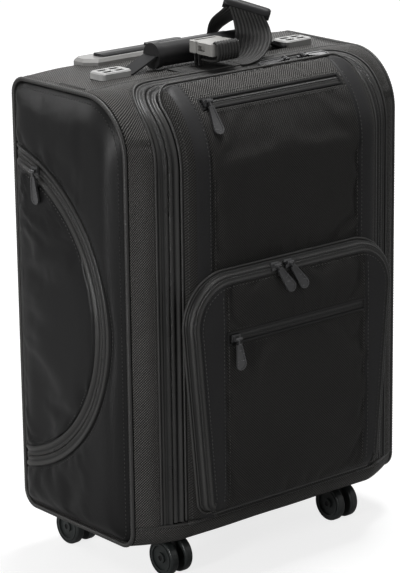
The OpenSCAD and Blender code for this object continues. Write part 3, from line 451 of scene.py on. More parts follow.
def stitches(name, runs, body, length=3.0, pitch=4.6, width=0.5, lift=0.25):
    """Rows of sewn stitches, each a small double pyramid: a run is (points, normals) on a surface."""
    verts = []
    for p, nrm in runs:
        d = arc_length(p)
        c = np.arange(pitch, d[-1] - pitch / 2, pitch)
        a, b = read_at(p, d, c - length / 2), read_at(p, d, c + length / 2)
        n = unit(read_at(np.broadcast_to(np.asarray(nrm, float), p.shape), d, c))
        s = np.cross(unit(b - a), n) * width
        mid = (a + b) / 2
        six = [a - 0.3 * n, b - 0.3 * n, mid + s, mid - s, mid + n * (lift + width), mid - 0.4 * n]
        verts.append(np.stack(six, 1).reshape(-1, 3))
    verts = np.concatenate(verts)
    faces = (np.arange(0, len(verts), 6)[:, None, None] + STITCH).reshape(-1, 3)
    o = mesh_object(name, verts, faces.tolist(), ["thread"])
    fix_normals(o)
    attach(o, body)


def teeth(n):
    """The two sides by turns, one row for each tooth of a zip."""
    return np.where(np.arange(n) % 2 == 0, 1.0, -1.0)[:, None]


def zip_sheet(name, body, p, coil, out, *replaced):
    """A zip's tape; coil says which columns of faces are its teeth."""
    face_mat = np.broadcast_to(coil.astype(int), (p.shape[0] - 1, p.shape[1] - 1))
    finish(grid(name, p, ["tape", "coil"], face_mat, out), body, "zip_tape", *replaced)


# ---- cloth simulation
CLOTH_FRAMES = 16
CLOTH = {"quality": 6, "mass": 0.3, "vertex_group_mass": "sewn", "pin_stiffness": 6, "tension_stiffness": 12,
         "compression_stiffness": 12, "shear_stiffness": 6, "bending_stiffness": 1.2, "air_damping": 4,
         "use_pressure": True, "shrink_min": -0.02}


def hold(sewn, steadied=False, weight=0.0):
    """Pin weights of a sheet's points: 1 where it is sewn down, less where it is only steadied."""
    return np.where(sewn, 1.0, np.where(steadied, weight, 0.0)).ravel()


def inflate(o, held, pressure, cap):
    """Swells a sheet by Blender's cloth between the points that are held, then keeps the shape.

    cap is the largest move in mm."""
    me = o.data
    n = len(me.vertices)
    rest = np.empty(n * 3)
    me.vertices.foreach_get("co", rest)
    group = o.vertex_groups.new(name="sewn")
    for w in np.unique(np.round(held, 2)):
        if w > 0:
            group.add(np.flatnonzero(np.abs(held - w) < 0.006).tolist(), float(w), "REPLACE")
    mod = o.modifiers.new("cloth", "CLOTH")
    for k, v in CLOTH.items():
        setattr(mod.settings, k, v)
    mod.settings.uniform_pressure_force = pressure
    mod.settings.effector_weights.gravity = 0
    mod.collision_settings.use_collision = False
    mod.collision_settings.use_self_collision = False
    mod.point_cache.frame_start = 1
    mod.point_cache.frame_end = CLOTH_FRAMES
    for k in range(1, CLOTH_FRAMES + 1):
        scene.frame_set(k)
    ev = o.evaluated_get(bpy.context.evaluated_depsgraph_get())
    got = np.empty(n * 3)
    ev.data.vertices.foreach_get("co", got)
    move = (got - rest).reshape(-1, 3)
    size = np.linalg.norm(move, axis=1, keepdims=True)
    lim = cap / 1000
    move *= np.where(size > 1e-9, lim * np.tanh(size / lim) / np.maximum(size, 1e-9), 0)
    o.modifiers.remove(mod)
    scene.frame_set(1)
    me.vertices.foreach_set("co", (rest.reshape(-1, 3) + move).ravel())
    me.update()


# ---- body surface
def shape(x):
    """Front, top and top front radius of the body's section at x; all grow from the sides towards the lid."""
    s = np.clip((HALF_W - np.abs(np.asarray(x, float))) / (HALF_W - LID_HALF), 0, 1)
    c = s * (1.35 - 0.35 * s)
    return BODY_D + 24 * c, BODY_H + 3 * c, BROW_R + 17 * c


def d_of_u(x, u):
    """Way along the skin to a place on the top or its front edge."""
    f, _, b = shape(x)
    a = np.arccos(np.clip((u - (f - b)) / b, 0, 1))
    return np.where(u <= f - b, u - EDGE_R, f - b - EDGE_R + b * (np.pi / 2 - a))


def d_of_z(x, z):
    """Way along the skin to a height on the front."""
    f, t, b = shape(x)
    a = np.arcsin(np.clip((z - (t - b)) / b, 0, 1))
    flat = f - b - EDGE_R + b * np.pi / 2 + (t - b - z)
    return np.where(z >= t - b, f - b - EDGE_R + b * (np.pi / 2 - a), flat)


def skin(x, d, h=0.0):
    """Point and normal of the body's outside, raised by h.

    d runs up the back, forward over the top, down the front and back under the base; it is 0 where the top starts."""
    x, d = np.broadcast_arrays(np.asarray(x, float), np.asarray(d, float))
    f, t, b = shape(x)
    r = EDGE_R
    brow = f - b - r
    front = brow + b * np.pi / 2
    toe = front + t - b - r
    under = toe + QUARTER
    heel = under + f - 2 * r
    rear = heel + QUARTER
    part = [d < -QUARTER, d < 0, d < brow, d < front, d < toe, d < under, d < heel, d < rear]
    half = np.pi / 2
    turn = np.select(part, [-half, d / r, 0, (d - brow) / b, half, half + (d - toe) / r, np.pi,
                            np.pi + (d - heel) / r], 3 * half)
    nu, nz = np.sin(turn), np.cos(turn)
    u = np.select(part, [0, r + r * nu, r + d, f - b + b * nu, f, f - r + r * nu, f - r - (d - under), r + r * nu], 0)
    z = np.select(part, [t - r + d + QUARTER, t - r + r * nz, t, t - b + b * nz, t - b - (d - front), r + r * nz, 0,
                         r + r * nz], r + d - rear)
    nrm = points(0, nu, nz)
    return points(x, u, z) + nrm * np.asarray(h, float)[..., None], nrm


def stations(step):
    """Places along the lid's zip: left side up, left corner, across the top, right corner, right side down.

    A row is x and u on the lid's edge, the way out in x and back, and how far up the side it is, 1 past the side."""
    bend = math.atan2(CORNER_U - TOP_SEAM_U, HALF_W - CORNER_X)
    arc = steps(np.linspace(0, np.pi / 2, max(int(60 / step), 9)), [bend])
    left = [(-LID_HALF, CORNER_U, -1, 0, v) for v in np.linspace(0, 1, int(470 / step))[:-1]]
    left += [(-CORNER_X - LID_R * c, CORNER_U - LID_R * s, -c, s, 1) for c, s in zip(np.cos(arc), np.sin(arc))]
    top = [(x, LID_U, 0, 1, 1) for x in np.linspace(-CORNER_X, CORNER_X, int(2 * CORNER_X / step))[1:-1]]
    return np.concatenate([left, top, np.array(left[::-1]) * [-1, 1, -1, 1, 1]])


def rim_xd(st, g, foot=LID_Z):
    """Places at distances g outside the lid's edge: x and the way along the skin. The sides end at height foot."""
    x0, u0, out_x, out_back, rise = st.T[:, :, None]
    x = x0 + out_x * np.asarray(g)
    side = d_of_z(x, foot) * (1 - rise) + d_of_u(x, CORNER_U) * rise
    return x, np.where(rise < 1, side, d_of_u(x, u0 - out_back * np.asarray(g)))


def rim_grid(st, g, h, foot=LID_Z):
    """Points and normals at distances g outside the lid's edge, raised by h over the body."""
    x, d = rim_xd(st, g, foot)
    return skin(x, d, np.broadcast_to(np.asarray(h, float), x.shape))


def rim_line(st, g, h, foot=LID_Z):
    """The same for one distance: a path and its normals."""
    p, nn = rim_grid(st, [g], h, foot)
    return p[:, 0], nn[:, 0]


def rim_top(st):
    """How much of each station lies on the top: 0 on the sides, 1 on the top, between them in the corners."""
    return st[:, 3:4] ** 2


def frame_edge(st):
    """How far outside the lid's edge the front frame reaches at each station."""
    out_x, out_back = np.maximum(np.abs(st[:, 2:3]), 1e-6), np.maximum(st[:, 3:4], 1e-6)
    return np.minimum((HALF_W - CORNER_X) / out_x, (CORNER_U - TOP_SEAM_U) / out_back) - LID_R


CASE_WALL, HEM_WALL = 4.0, 0.8

# Top panel, with the opening that the bezel sits in
xs = steps(np.linspace(-HALF_W, HALF_W, 110), mirrored([BEZEL_HALF, HALF_W - 3.5, HALF_W - 1.5], -1))
rows = steps(np.linspace(-31.4, 0, 9), np.linspace(0, 110, 34), [BEZEL_BACK, BEZEL_FRONT, 107, 108.5])
X, D = np.meshgrid(xs, rows)
sag = -0.9 * np.sin(np.pi * np.clip((D - 18) / 92, 0, 1)) * np.cos(X / 62) ** 2
p, _ = skin(X, D, sag + 0.35 * np.sin(X / 23 + D / 31) * smooth01((D - 20) / 20))
hole = (np.abs(middles(X)) < BEZEL_HALF) & (middles(D) > BEZEL_BACK) & (middles(D) < BEZEL_FRONT)
nylon_sheet("top_cloth", "case", p, (0, 0, 1), CASE_WALL, "top_panel", pad=0.5, keep=~hole)

# Back panel: two soft ridges over the trolley tubes and a quilted field between
BACK_TOP = BODY_H - EDGE_R
X, Z = np.meshgrid(np.linspace(-HALF_W, HALF_W, 120), np.linspace(FOOT_Z, BACK_TOP, 116))
ax = np.abs(X)
fall = smooth01((HALF_W - ax) / 14) * smooth01((Z - FOOT_Z) / 12) * smooth01((BACK_TOP - Z) / 12)
ridge = np.exp(-(((ax - 82) / 19) ** 4)) * smooth01((Z - 30) / 30)
seam = groove(ax - 104, 1.6) + groove(ax - 60, 1.6)
field = np.exp(-((ax / 56) ** 6)) * (0.4 + 0.3 * np.cos(Z / 41))
lift = fall * (1.4 * ridge + 0.9 * field - 0.9 * seam + 0.25 * np.sin(Z / 37 + X / 53))
# its upper edge rises to meet the top panel's crown
p = points(X, -lift, Z + (shape(X)[1] - BODY_H) * smooth01((Z - 300) / 180))
nylon_sheet("back_cloth", "case", p, (0, -1, 0), CASE_WALL, "back_panel", pad=0.5)

# Base tray: from the foot of the front under the case to the foot of the back
xs = steps(np.linspace(-HALF_W, HALF_W, 90), mirrored([HALF_W - 1.5], -1))
total = (FOOT_Z - EDGE_R) * 2 + 2 * QUARTER + shape(xs)[0] - 2 * EDGE_R
fr = steps(np.linspace(0, 0.16, 16), np.linspace(0.16, 0.84, 30), np.linspace(0.84, 1, 14))[:, None]
p, _ = skin(xs, d_of_z(xs, FOOT_Z) + fr * total, 0.3 * np.sin(xs / 17) * np.sin(np.pi * np.clip(fr / 0.14, 0, 1)))
nylon_sheet("base_cloth", "case", p, (0, 0, -1), CASE_WALL, "base_pan")

# Front frame: the gusset bands beside the lid and the strip above it
st = stations(4.0)
fr = steps(np.linspace(0, 0.2, 6), np.linspace(0.2, 0.9, 9), np.linspace(0.9, 1, 4))
swell = (3.2 - 1.7 * rim_top(st)) * np.sin(np.pi * fr) ** 0.8
p, nn = rim_grid(st, ZIP_W + (frame_edge(st) - ZIP_W) * fr, swell, FOOT_Z)
# a cross seam on each band, where the upper piece is sewn to the lower
SEAM_Z = 453.0
over = p[..., 2] - SEAM_Z
dent = np.where(np.abs(p[..., 0]) > 160, 0.9 * groove(over - 5, 3.0) - 1.6 * groove(over, 2.2), 0)
nylon_sheet("frame_cloth", "case", p + nn * dent[..., None], (0, 0, 1), CASE_WALL, "front_frame", pad=0.4)

# Lid zip: two tapes, each with a folded edge, a flat and half of the coil
st = stations(1.2)
gl = np.array([-1.5, 0.0, 0.9, 2.2, 3.4, 4.4, 5.4, 6.6, 7.6, 8.6, 9.6, 10.6, 11.3, 11.8, 11.8])
hl = np.array([-1.6, -0.9, 0.5, 0.9, 0.4, -0.5, -0.7, -0.4, 0.2, 0.7, 0.9, 0.6, 0.1, -0.8, -2.2])
tooth = np.array([0, 0, 0, 0, 0, 0, 0, 0, 0.1, 0.22, 0.3, 0.3, 0.25, 0.1, 0]) * teeth(len(st))
coil = gl[:-1] > 7.5
zip_sheet("lid_tape", "front_lid", rim_grid(st, gl, hl + tooth)[0], coil, (0, 0, 1), "lid_zip_tape")
p, _ = rim_grid(st, ZIP_W - gl, hl - tooth, FOOT_Z)
zip_sheet("body_tape", "case", p, coil, (0, 0, 1), "body_zip_tape")

# Bound edge beside the zip, with its stitching
st = stations(2.4)
piping("frame_bead", "case", *rim_line(st, 25.2, 0.9, FOOT_Z), 1.5)
stitches("frame_stitches", [rim_line(st, 29.0, 2.1 - 1.1 * rim_top(st), 27.0)], "case")

# Seam across the top, and sewn rows along it, the sides' edges and the cross seams
x = np.linspace(5 - HALF_W, HALF_W - 5, 160)
piping("top_seam", "case", *skin(x, d_of_u(x, TOP_SEAM_U), 0.2), 1.1, beat=0.06, pitch=4.6)
runs = [skin(x, d_of_u(x, TOP_SEAM_U + du), h) for du, h in ((-3.5, 0.1), (3.5, 0.9))]
zz = np.linspace(30, SEAM_Z - 3, 150)
for sx in (-1, 1):
    runs.append(skin(sx * (HALF_W - 5.0), np.linspace(-25, 150, 90), 0.3))
    xx = sx * (HALF_W - 4.5)
    runs.append(skin(xx, d_of_z(xx, zz), 2.0))
    for dz in (-4.5, 5.5):
        xx = sx * np.linspace(171, HALF_W - 4.5, 20)
        runs.append(skin(xx, d_of_z(xx, SEAM_Z + dz), 2.1 + 1.2 * np.sin(np.pi * np.linspace(0, 1, 20))))
stitches("body_stitches", runs, "case")
# Rows of bar tacks where the top is sewn to the sides
runs = []
for sx in (-1, 1):
    xx = sx * np.linspace(HALF_W - 11.0, HALF_W - 1.5, 6)
    runs += [skin(xx, d_of_u(xx, u), 0.4) for u in np.arange(76, 120, 3.0)]
stitches("bar_tacks", runs, "case", 6.0, 4.75, 0.7, 0.35)

# Piped seam along the foot of the front, and the stitching under it
x = np.linspace(1.5 - HALF_W, HALF_W - 1.5, 170)
piping("base_seam", "case", *skin(x, d_of_z(x, 25.2), 0.6), 1.7)
stitches("base_stitches", [skin(x, d_of_z(x, 21.0), 0.2)], "case")


# ---- front lid
LID_FRONT_U = 222.0  # from here on the zip across the top is too far off to count
SHOULDER, TOP_EDGE = 40.0, 15.0  # width over which the lid rises at its sides and on the top
LID_RISE, LID_SUNK = 11.0, 1.5  # height of its face over the body, and how deep its edge starts
BAND_END = 130.0  # outer edge of the satin side bands


def lid_edge_u(x):
    """Where the lid's edge runs on the top."""
    a = np.clip(np.abs(x) - CORNER_X, 0, LID_R)
    return np.where(np.abs(x) <= CORNER_X, LID_U, CORNER_U - np.sqrt(np.maximum(LID_R**2 - a**2, 0)))


def lid_dist(x, u):
    """Distance of a place on the lid from its zip, in plan."""
    ax = np.abs(x)
    corner = LID_R - np.hypot(np.maximum(ax - CORNER_X, 0), np.maximum(CORNER_U - u, 0))
    straight = np.minimum(LID_HALF - ax, np.where(u < LID_FRONT_U, u - LID_U, 1e3))
    return np.where((ax > CORNER_X) & (u < CORNER_U), corner, straight)


def lid_rise(x, u):
    """Share of the lid's height that is reached at a place: a steep edge on the top, a soft shoulder at the sides."""
    ax = np.abs(x)
    side = np.clip((LID_HALF - ax) / SHOULDER, 0, 1)
    top = np.clip((u - LID_U) / TOP_EDGE, 0, 1)
    turn = np.arctan2(np.maximum(CORNER_U - u, 0), np.maximum(ax - CORNER_X, 1e-6))
    width = SHOULDER - (SHOULDER - TOP_EDGE) * np.sin(turn) ** 2
    bend = np.clip(np.maximum(lid_dist(x, u), 0) / width, 0, 1)
    straight = np.minimum(side, np.where(u < LID_FRONT_U, top, 1))
    return 1 - (1 - np.where((ax > CORNER_X) & (u < CORNER_U), bend, straight)) ** 5


def lid_point(x, d, extra=0.0):
    """Point and normal on the lid's padded face, raised by extra."""
    q, nn = skin(x, d)
    full = LID_RISE + (1 - np.clip(nn[..., 2], 0, 1))
    h = (full + LID_SUNK) * lid_rise(x, q[..., 1]) - LID_SUNK + extra
    return q + nn * h[..., None], nn


d = np.linspace(60, 260, 900)
upper_d = np.interp(-UPPER_Z, -lid_point(0.0, d)[0][:, 2], d)  # way along the skin to the upper zip
shoulder = np.cumsum([3, 3, 2, 1, 1, 2, 3, 4, 4, 4, 4, 3, 3, 2, 1.4, 1.0]).clip(0, 41)
xs = steps(np.linspace(-101, 101, 62), mirrored(101 + shoulder, -1), mirrored([99.4, 100.6], -1))
top_d = d_of_u(xs, lid_edge_u(xs))
slot_d = np.maximum(upper_d, top_d + 14)
to_slot = np.array([0, 0.015, 0.04, 0.08, 0.13, 0.19, 0.26, 0.34, 0.43, 0.53, 0.64, 0.76, 0.88, 1.0])[:, None]
slot_rows = steps(mirrored([0, 3.5, 5.6, 6.4, 7.0, 7.6, 8.5], -1))[:, None]
to_foot = np.linspace(0, 1, 112)[:, None]
D = np.concatenate([top_d + to_slot * (np.maximum(upper_d - 10, top_d + 3) - top_d), slot_d + slot_rows,
                    slot_d + 11 + to_foot * (d_of_z(xs, LID_Z) - slot_d - 11)])
X = np.broadcast_to(xs, D.shape)
off, ax = D - slot_d, np.abs(X)
dist = lid_dist(X, skin(X, D)[0][..., 1])
dent = -2.8 * ((np.abs(off) < 6.8) & (ax < SLOT_HALF)) - 1.5 * groove(ax - LID_SEAM_X, 1.3) * smooth01((dist - 3) / 10)
p, _ = lid_point(X, D, dent)
mid = np.abs(middles(X))
# the centre below the upper zip and the strips outside the bands take the darker front nylon, painted shade; the side
# bands take the lighter band satin, painted light; the brow above the upper zip takes the ballistic nylon
cut = np.where((mid > LID_SEAM_X) & (mid < BAND_END), 2, (off[1:, 1:] < 0) & (mid < LID_SEAM_X))
o = grid("lid_cloth", p, ["front", "ballistic", "band"] + ["lining"] * 3, cut, out=(0, 1, 0), uv=(X, D))
sewn = (dist < 3) | ((np.abs(off) < 9) & (ax < SLOT_HALF + 2)) | (p[..., 2] < 31) | (ax > LID_SEAM_X - 2)
inflate(o, hold(sewn, p[..., 2] < P_TOP + 4, 0.9), 2.2, 2.2)
thicken(o, 4.5, 3)
finish(o, "front_lid", "ballistic_nylon", "lid_panel", pad=0.6)

# Rolled hem that the lid turns on, and the cloth that turns in to it
x = np.linspace(-140, 140, 140)
piping("lid_hem", "front_lid", points(x, 224.6, 25.5), (0, 1, 0), 2.4, 12, 0.04, 5)
hem = np.stack([points(x, u, z) for u, z in
                ((225.5, 26.6), (227.5, 28.2), (230.5, 28.7), (233.6, 28.9), (234.2, 30.0))])
nylon_sheet("lid_hem_cloth", "front_lid", hem, (0, 0, -1), HEM_WALL)

# Piped edge of the lid and its stitching
st = stations(2.4)
piping("lid_bead", "front_lid", *rim_line(st, -1.0, 1.6 + 7.2 * rim_top(st)), 1.5)
p, nn = lid_point(*rim_xd(st, [-6.0]), 0.3)
runs = [(p[:, 0], nn[:, 0])]
for xx in mirrored([LID_SEAM_X - 3.4, LID_SEAM_X + 3.4], -1):
    runs.append(lid_point(xx, np.linspace(d_of_u(xx, 175.0), d_of_z(xx, 33.0), 200), 0.35))
xx = np.linspace(-101, 101, 60)
runs += [lid_point(xx, upper_d + y, 0.3) for y in (-10.2, 10.2)]
stitches("lid_stitches", runs, "front_lid")


# ---- welt zips
def welt(name, place, body, replaced):
    """A pocket zip set in a slot: a tape with its coil, two folded lips and a tack at each end.

    place(x, y, h) gives a point: along the zip, up along the surface and out of it."""
    x = np.arange(-SLOT_HALF + 0.4, SLOT_HALF - 0.3, 1.2)[:, None]
    y = mirrored([0.1, 0.6, 1.3, 2.0, 2.8, 3.8, 5.2, 6.4, 6.9], -1)
    h = mirrored([-0.7, -0.1, -0.1, -0.5, -0.8, -0.9, -0.9, -1.2, -2.6], 1)
    tooth = mirrored([-0.2, -0.28, -0.28, -0.15, 0, 0, 0, 0, 0], -1) * teeth(len(x))
    coil = np.abs(y[:-1] + y[1:]) / 2 < 2.4
    zip_sheet(name + "_tape_cloth", body, place(x, y, h + tooth), coil, (0, 1, 0), replaced)
    lip_x = np.linspace(-SLOT_HALF - 1.5, SLOT_HALF + 1.5, 90)[:, None]
    lip_y = np.array([7.8, 7.2, 6.2, 5.0, 4.3, 4.2, 4.6, 5.8])
    lip_h = np.array([-0.6, 0.5, 1.0, 0.9, 0.3, -0.3, -0.7, -0.9])
    tack_x = SLOT_HALF + np.array([2.2, 1.6, 0.4, -0.8, -1.4])[:, None]
    tack_y = np.linspace(-8, 8, 18)
    tack_h = np.array([-0.6, 0.7, 1.1, 0.8, -0.8])[:, None]
    for tag, p in (("_lip_low", place(lip_x, -lip_y, lip_h)), ("_lip_high", place(lip_x, lip_y, lip_h)),
                   ("_tack_left", place(-tack_x, tack_y, tack_h)), ("_tack_right", place(tack_x, tack_y, tack_h))):
        finish(thicken(grid(name + tag, p, ["satin"], out=(0, 1, 0)), HEM_WALL, 0), body, "satin_nylon")


LID_BROW_U, LID_BROW_Z, LID_BROW_R = 139.0, 419.0, 95.0  # the lid's rounded top front edge
upper_tilt = math.asin((UPPER_Z - LID_BROW_Z) / LID_BROW_R)


def on_brow(x, y, h):
    """On the lid's rounded edge: y runs up along it from the upper zip."""
    a = upper_tilt + y / LID_BROW_R
    r = LID_BROW_R + h
    return points(x, LID_BROW_U + r * np.cos(a), LID_BROW_Z + r * np.sin(a))


welt("upper", on_brow, "front_lid", "upper_zip_tape")


# ---- front pocket
PAD = np.array([[0, 237.3], [0.4, 240.0], [2.0, 243.0], [4.6, 245.6], [8.0, 247.3], [14, 248.5], [22, 249.3],
                [45, 250.2], [90, 250.6]])  # section of the padded edge: inset from the outline, and u
pad_d = arc_length(PAD)


def resample(rows, step):
    """Rows of a place and a normal in a plane, at even spacing."""
    q = evenly(rows, step, 2)
    q[:, 2:] = unit(q[:, 2:])
    return q


def round_corner(centre, r, angles):
    """Rows of a place and a normal on an arc."""
    n = np.stack([np.cos(angles), np.sin(angles)], -1)
    return np.concatenate([centre + r * n, n], 1)


def arch_path(step):
    """Outline of the pocket from its left foot over the arch to its right foot: x, z and outward normal."""
    high, low = np.array([P_W - P_R, P_TOP - P_R]), np.array([P_FOOT_W - P_FOOT_R, P_FOOT + P_FOOT_R])
    # angle of the outer tangent of the two rounded corners
    v = high - low
    a = math.atan2(v[1], v[0]) - math.acos((P_FOOT_R - P_R) / np.hypot(*v))
    half = resample(np.concatenate([[[0.0, P_TOP, 0.0, 1.0]], round_corner(high, P_R, np.linspace(np.pi / 2, a, 90)),
                                    round_corner(low, P_FOOT_R, np.linspace(a, -np.pi / 2, 24))]), step)
    return np.concatenate([(half[::-1] * [-1, 1, -1, 1])[:-1], half])


def round_arch(path, inset, u):
    """Points round the arch, drawn in by inset, at a distance u from the back."""
    return points(path[:, 0] - path[:, 2] * inset, u, path[:, 1] - path[:, 3] * inset)


def on_pad(path, s, h):
    """Points round the pocket's padded edge: s along its section, raised by h."""
    s = np.asarray(s)
    t = unit(read_at(PAD, pad_d, s + 1.0) - read_at(PAD, pad_d, s - 1.0))
    raised = read_at(PAD, pad_d, s) + np.stack([-t[..., 1], t[..., 0]], -1) * np.asarray(h)[..., None]
    inset, u = raised[..., 0], raised[..., 1]
    return points(path[:, None, 0] - path[:, None, 2] * inset, u, path[:, None, 1] - path[:, None, 3] * inset)


# Zip round the pocket, centred on the slope of its edge
PAD_ZIP = 9.6
path = arch_path(1.2)
s = mirrored([0.3, 1.0, 1.8, 2.6, 3.6, 4.6, 5.6, 6.6, 7.4, 8.4], -1)
h = mirrored([-0.5, 0.5, 0.5, 0.0, -0.5, -0.4, 0.3, 0.8, 0.4, -1.0], 1)
tooth = mirrored([-0.15, -0.28, -0.25, -0.12, 0, 0, 0, 0, 0, 0], -1) * teeth(len(path))
p = on_pad(path, PAD_ZIP + s, h + tooth)
zip_sheet("pocket_zip", "front_pocket", p, np.abs(s[:-1] + s[1:]) / 2 < 3, (0, 1, 1))

# Padded face: a sheet that fills the arch inside the zip
FACE_IN, LOWER_PULL_X = 10.0, -82.0


def arch_half(z):
    """Half width of the padded face at height z."""
    q = round_arch(path[path[:, 0] >= 0], FACE_IN, 0)
    order = np.argsort(q[:, 2])
    return np.interp(z, q[order, 2], q[order, 0])


def arch_depth(x, z):
    """Distance of a place inside the arch from its outline, the foot left out."""
    q = path[::3]
    return np.min(np.hypot(x[..., None] - q[:, 0], z[..., None] - q[:, 1]), -1)


def pad_inset(x, z):
    """Inset that sets the pad's height at a place; from the foot it grows at half the rate."""
    return np.minimum(arch_depth(x, z), np.maximum(z - P_FOOT, 0) / 2 + 4)


z_top = P_TOP - FACE_IN
slot_rows = LOWER_Z + np.array([-15, -11, -8.2, -7.4, -6.8, -5.8, -3.5, 0, 3.5, 5.8, 6.8, 7.4, 8.2, 11])
zs = np.concatenate([np.linspace(P_FOOT + 1.5, LOWER_Z - 19, 44), slot_rows, np.linspace(LOWER_Z + 15, z_top - 8, 14),
                     z_top - np.array([6, 4, 2.5, 1.2, 0.4, 0.0])])[:, None]
half = np.where(zs > z_top - 1e-6, P_W - P_R, np.maximum(arch_half(zs), P_W - P_R))
X = half * steps(np.linspace(-0.97, 0.97, 84), mirrored([0.99, 1], -1))
Z = zs + 0 * X
ax, dep, ins = np.abs(X), arch_depth(X, Z), pad_inset(X, Z)
U = np.interp(ins, PAD[:, 0], PAD[:, 1]) - 1.3 * groove(ax - POCKET_SEAM_X, 1.4) * smooth01((ins - 10) / 8)
U -= 2.8 * ((np.abs(Z - LOWER_Z) < 7.1) & (ax < SLOT_HALF)) + 0.8 * (dep < FACE_IN + 1.5)
# the centre takes the darker front nylon, painted shade; the side bands take the lighter band satin, painted light
cut = np.abs(middles(X)) > POCKET_SEAM_X
o = grid("pocket_cloth", points(X, U, Z), ["front", "band", "lining", "lining"], cut, out=(0, 1, 0), uv=(X, Z))
in_slot = (np.abs(Z - LOWER_Z) < 9) & (ax < SLOT_HALF + 2)
sewn = (dep < FACE_IN + 2) | (Z < P_FOOT + 4) | (ax > POCKET_SEAM_X - 2) | in_slot
near_pull = (np.abs(X - LOWER_PULL_X) < 22) & (Z > LOWER_Z - 46) & (Z < LOWER_Z - 2)
inflate(o, hold(sewn, near_pull, 0.85), 2.2, 2.0)
thicken(o, 3.0, 2)
finish(o, "front_pocket", "ballistic_nylon", "pocket_flap", pad=0.5)

# Its lower edge: the cloth turns in to the hinge hem
x = np.linspace(-P_FOOT_W + 6, P_FOOT_W - 6, 110)
foot = np.stack([points(x, u, z) for u, z in ((244.3, 40.4), (242.6, 38.6), (240.6, 37.9), (239.2, 37.0))])
nylon_sheet("pocket_foot_cloth", "front_pocket", foot, (0, 1, -1), HEM_WALL)
piping("pocket_hem", "front_pocket", points(np.linspace(-117, 117, 110), 238.8, 35.7), (0, 1, 0), 1.9, 10, 0.05, 5)

# Gusset on the lid, under the zip, with a piped edge
path_wide = arch_path(2.4)
section = ((-0.2, 230.5), (-0.4, 233.2), (-0.1, 235.6), (0.5, 236.8), (3.0, 237.0), (7.0, 236.9), (12.0, 236.6),
           (14.0, 235.4), (14.2, 231.0))
p = np.stack([round_arch(path_wide, inset, u) for inset, u in section], 1)
finish(grid("gusset_cloth", p, ["tape"], out=(0, 1, 1)), "front_lid", "zip_tape", "pocket_gusset")
piping("gusset_bead", "front_lid", round_arch(path_wide, -1.4, 234.6), points(path_wide[:, 2], 0, path_wide[:, 3]), 1.7)

FORWARD = (0, 1, 0)
runs = [(on_pad(path_wide, [PAD_ZIP + 10.6], 0.25)[:, 0], FORWARD)]
zz = np.linspace(46, 284, 120)
for xx in mirrored([POCKET_SEAM_X - 3.4, POCKET_SEAM_X + 3.4], -1):
    ins = pad_inset(np.full_like(zz, abs(xx)), zz)
    runs.append((points(xx, np.interp(ins, PAD[:, 0], PAD[:, 1]) + 0.15, zz), FORWARD))
runs += [(points(np.linspace(-97, 97, 60), POCKET_FACE + 0.15, LOWER_Z + dz), FORWARD) for dz in (-10, 10)]
stitches("pocket_stitches", runs, "front_pocket")


def on_pocket_face(x, y, h):
    """On the front pocket: y runs up from the lower zip."""
    return points(x, POCKET_FACE + h, LOWER_Z + y)


welt("lower", on_pocket_face, "front_pocket", "lower_zip_tape")


# ---- sides
ARCH_U, ARCH_Z, ARCH_R, HINGE_U = -14.0, 240.0, 178.0, 12.0
POCKET_BACK = 7.5  # rear edge of the side pocket's opening
# Rounded corners of the side's outline, from the front foot round: centre, radius and the signs of the way out
CORNERS = ((BODY_D - EDGE_R, EDGE_R, EDGE_R, 1, -1), (BODY_D - BROW_R, BODY_H - BROW_R, BROW_R, 1, 1),
           (EDGE_R, BODY_H - EDGE_R, EDGE_R, -1, 1), (EDGE_R, EDGE_R, EDGE_R, -1, -1))


def profile_path(inset, step):
    """Closed outline of the side, drawn in by inset: u, z and outward normal."""
    rows = [round_corner((cu, cz), max(r - inset, 0.5), np.radians(np.linspace(90 * k - 90, 90 * k, 25)))
            for k, (cu, cz, r, _, _) in enumerate(CORNERS)]
    return resample(np.concatenate(rows + [rows[0][:1]]), step)[:-1]


def side_depth(u, z):
    """Distance of a place on the side from the side's seam line."""
    out = np.minimum(np.minimum(u, BODY_D - u), np.minimum(z, BODY_H - z))
    for cu, cz, r, su, sz in CORNERS:
        out = np.where(((u - cu) * su > 0) & ((z - cz) * sz > 0), r - np.hypot(u - cu, z - cz), out)
    return out


def on_side(sx, u, z, h):
    """A place on one side, h above its padded surface, which swells from the seam inwards."""
    t = np.clip((side_depth(u, z) - 4.5) / 40, 0, 1)
    return points(sx * (HALF_W + 14.0 * (1 - (1 - t) ** 3.6) + h), u, z)


def arc_dist(u, z):
    """How far outside the side pocket's arch a place is."""
    return np.hypot(u - ARCH_U, z - ARCH_Z) - ARCH_R


def arch_at(r, a):
    """u and z on a circle about the arch's centre."""
    return ARCH_U + r * np.cos(a), ARCH_Z + r * np.sin(a)


tip = math.acos((HINGE_U - ARCH_U) / ARCH_R)

# Panel round the pocket: rays from the pocket's middle out to the seam
MID_U, MID_Z = 70.0, 240.0
corners = [math.atan2(z, POCKET_BACK - MID_U) for z in (-186.6, 186.6)]
th = steps(np.linspace(-np.pi, np.pi, 241)[:-1], corners)[:, None]


def ray_hit(inside):
    """How far along each ray a test still holds."""
    lo, hi = np.zeros_like(th), np.full_like(th, 420.0)
    for _ in range(44):
        mid = (lo + hi) / 2
        ok = inside(MID_U + mid * np.cos(th), MID_Z + mid * np.sin(th))
        lo, hi = np.where(ok, mid, lo), np.where(ok, hi, mid)
    return lo


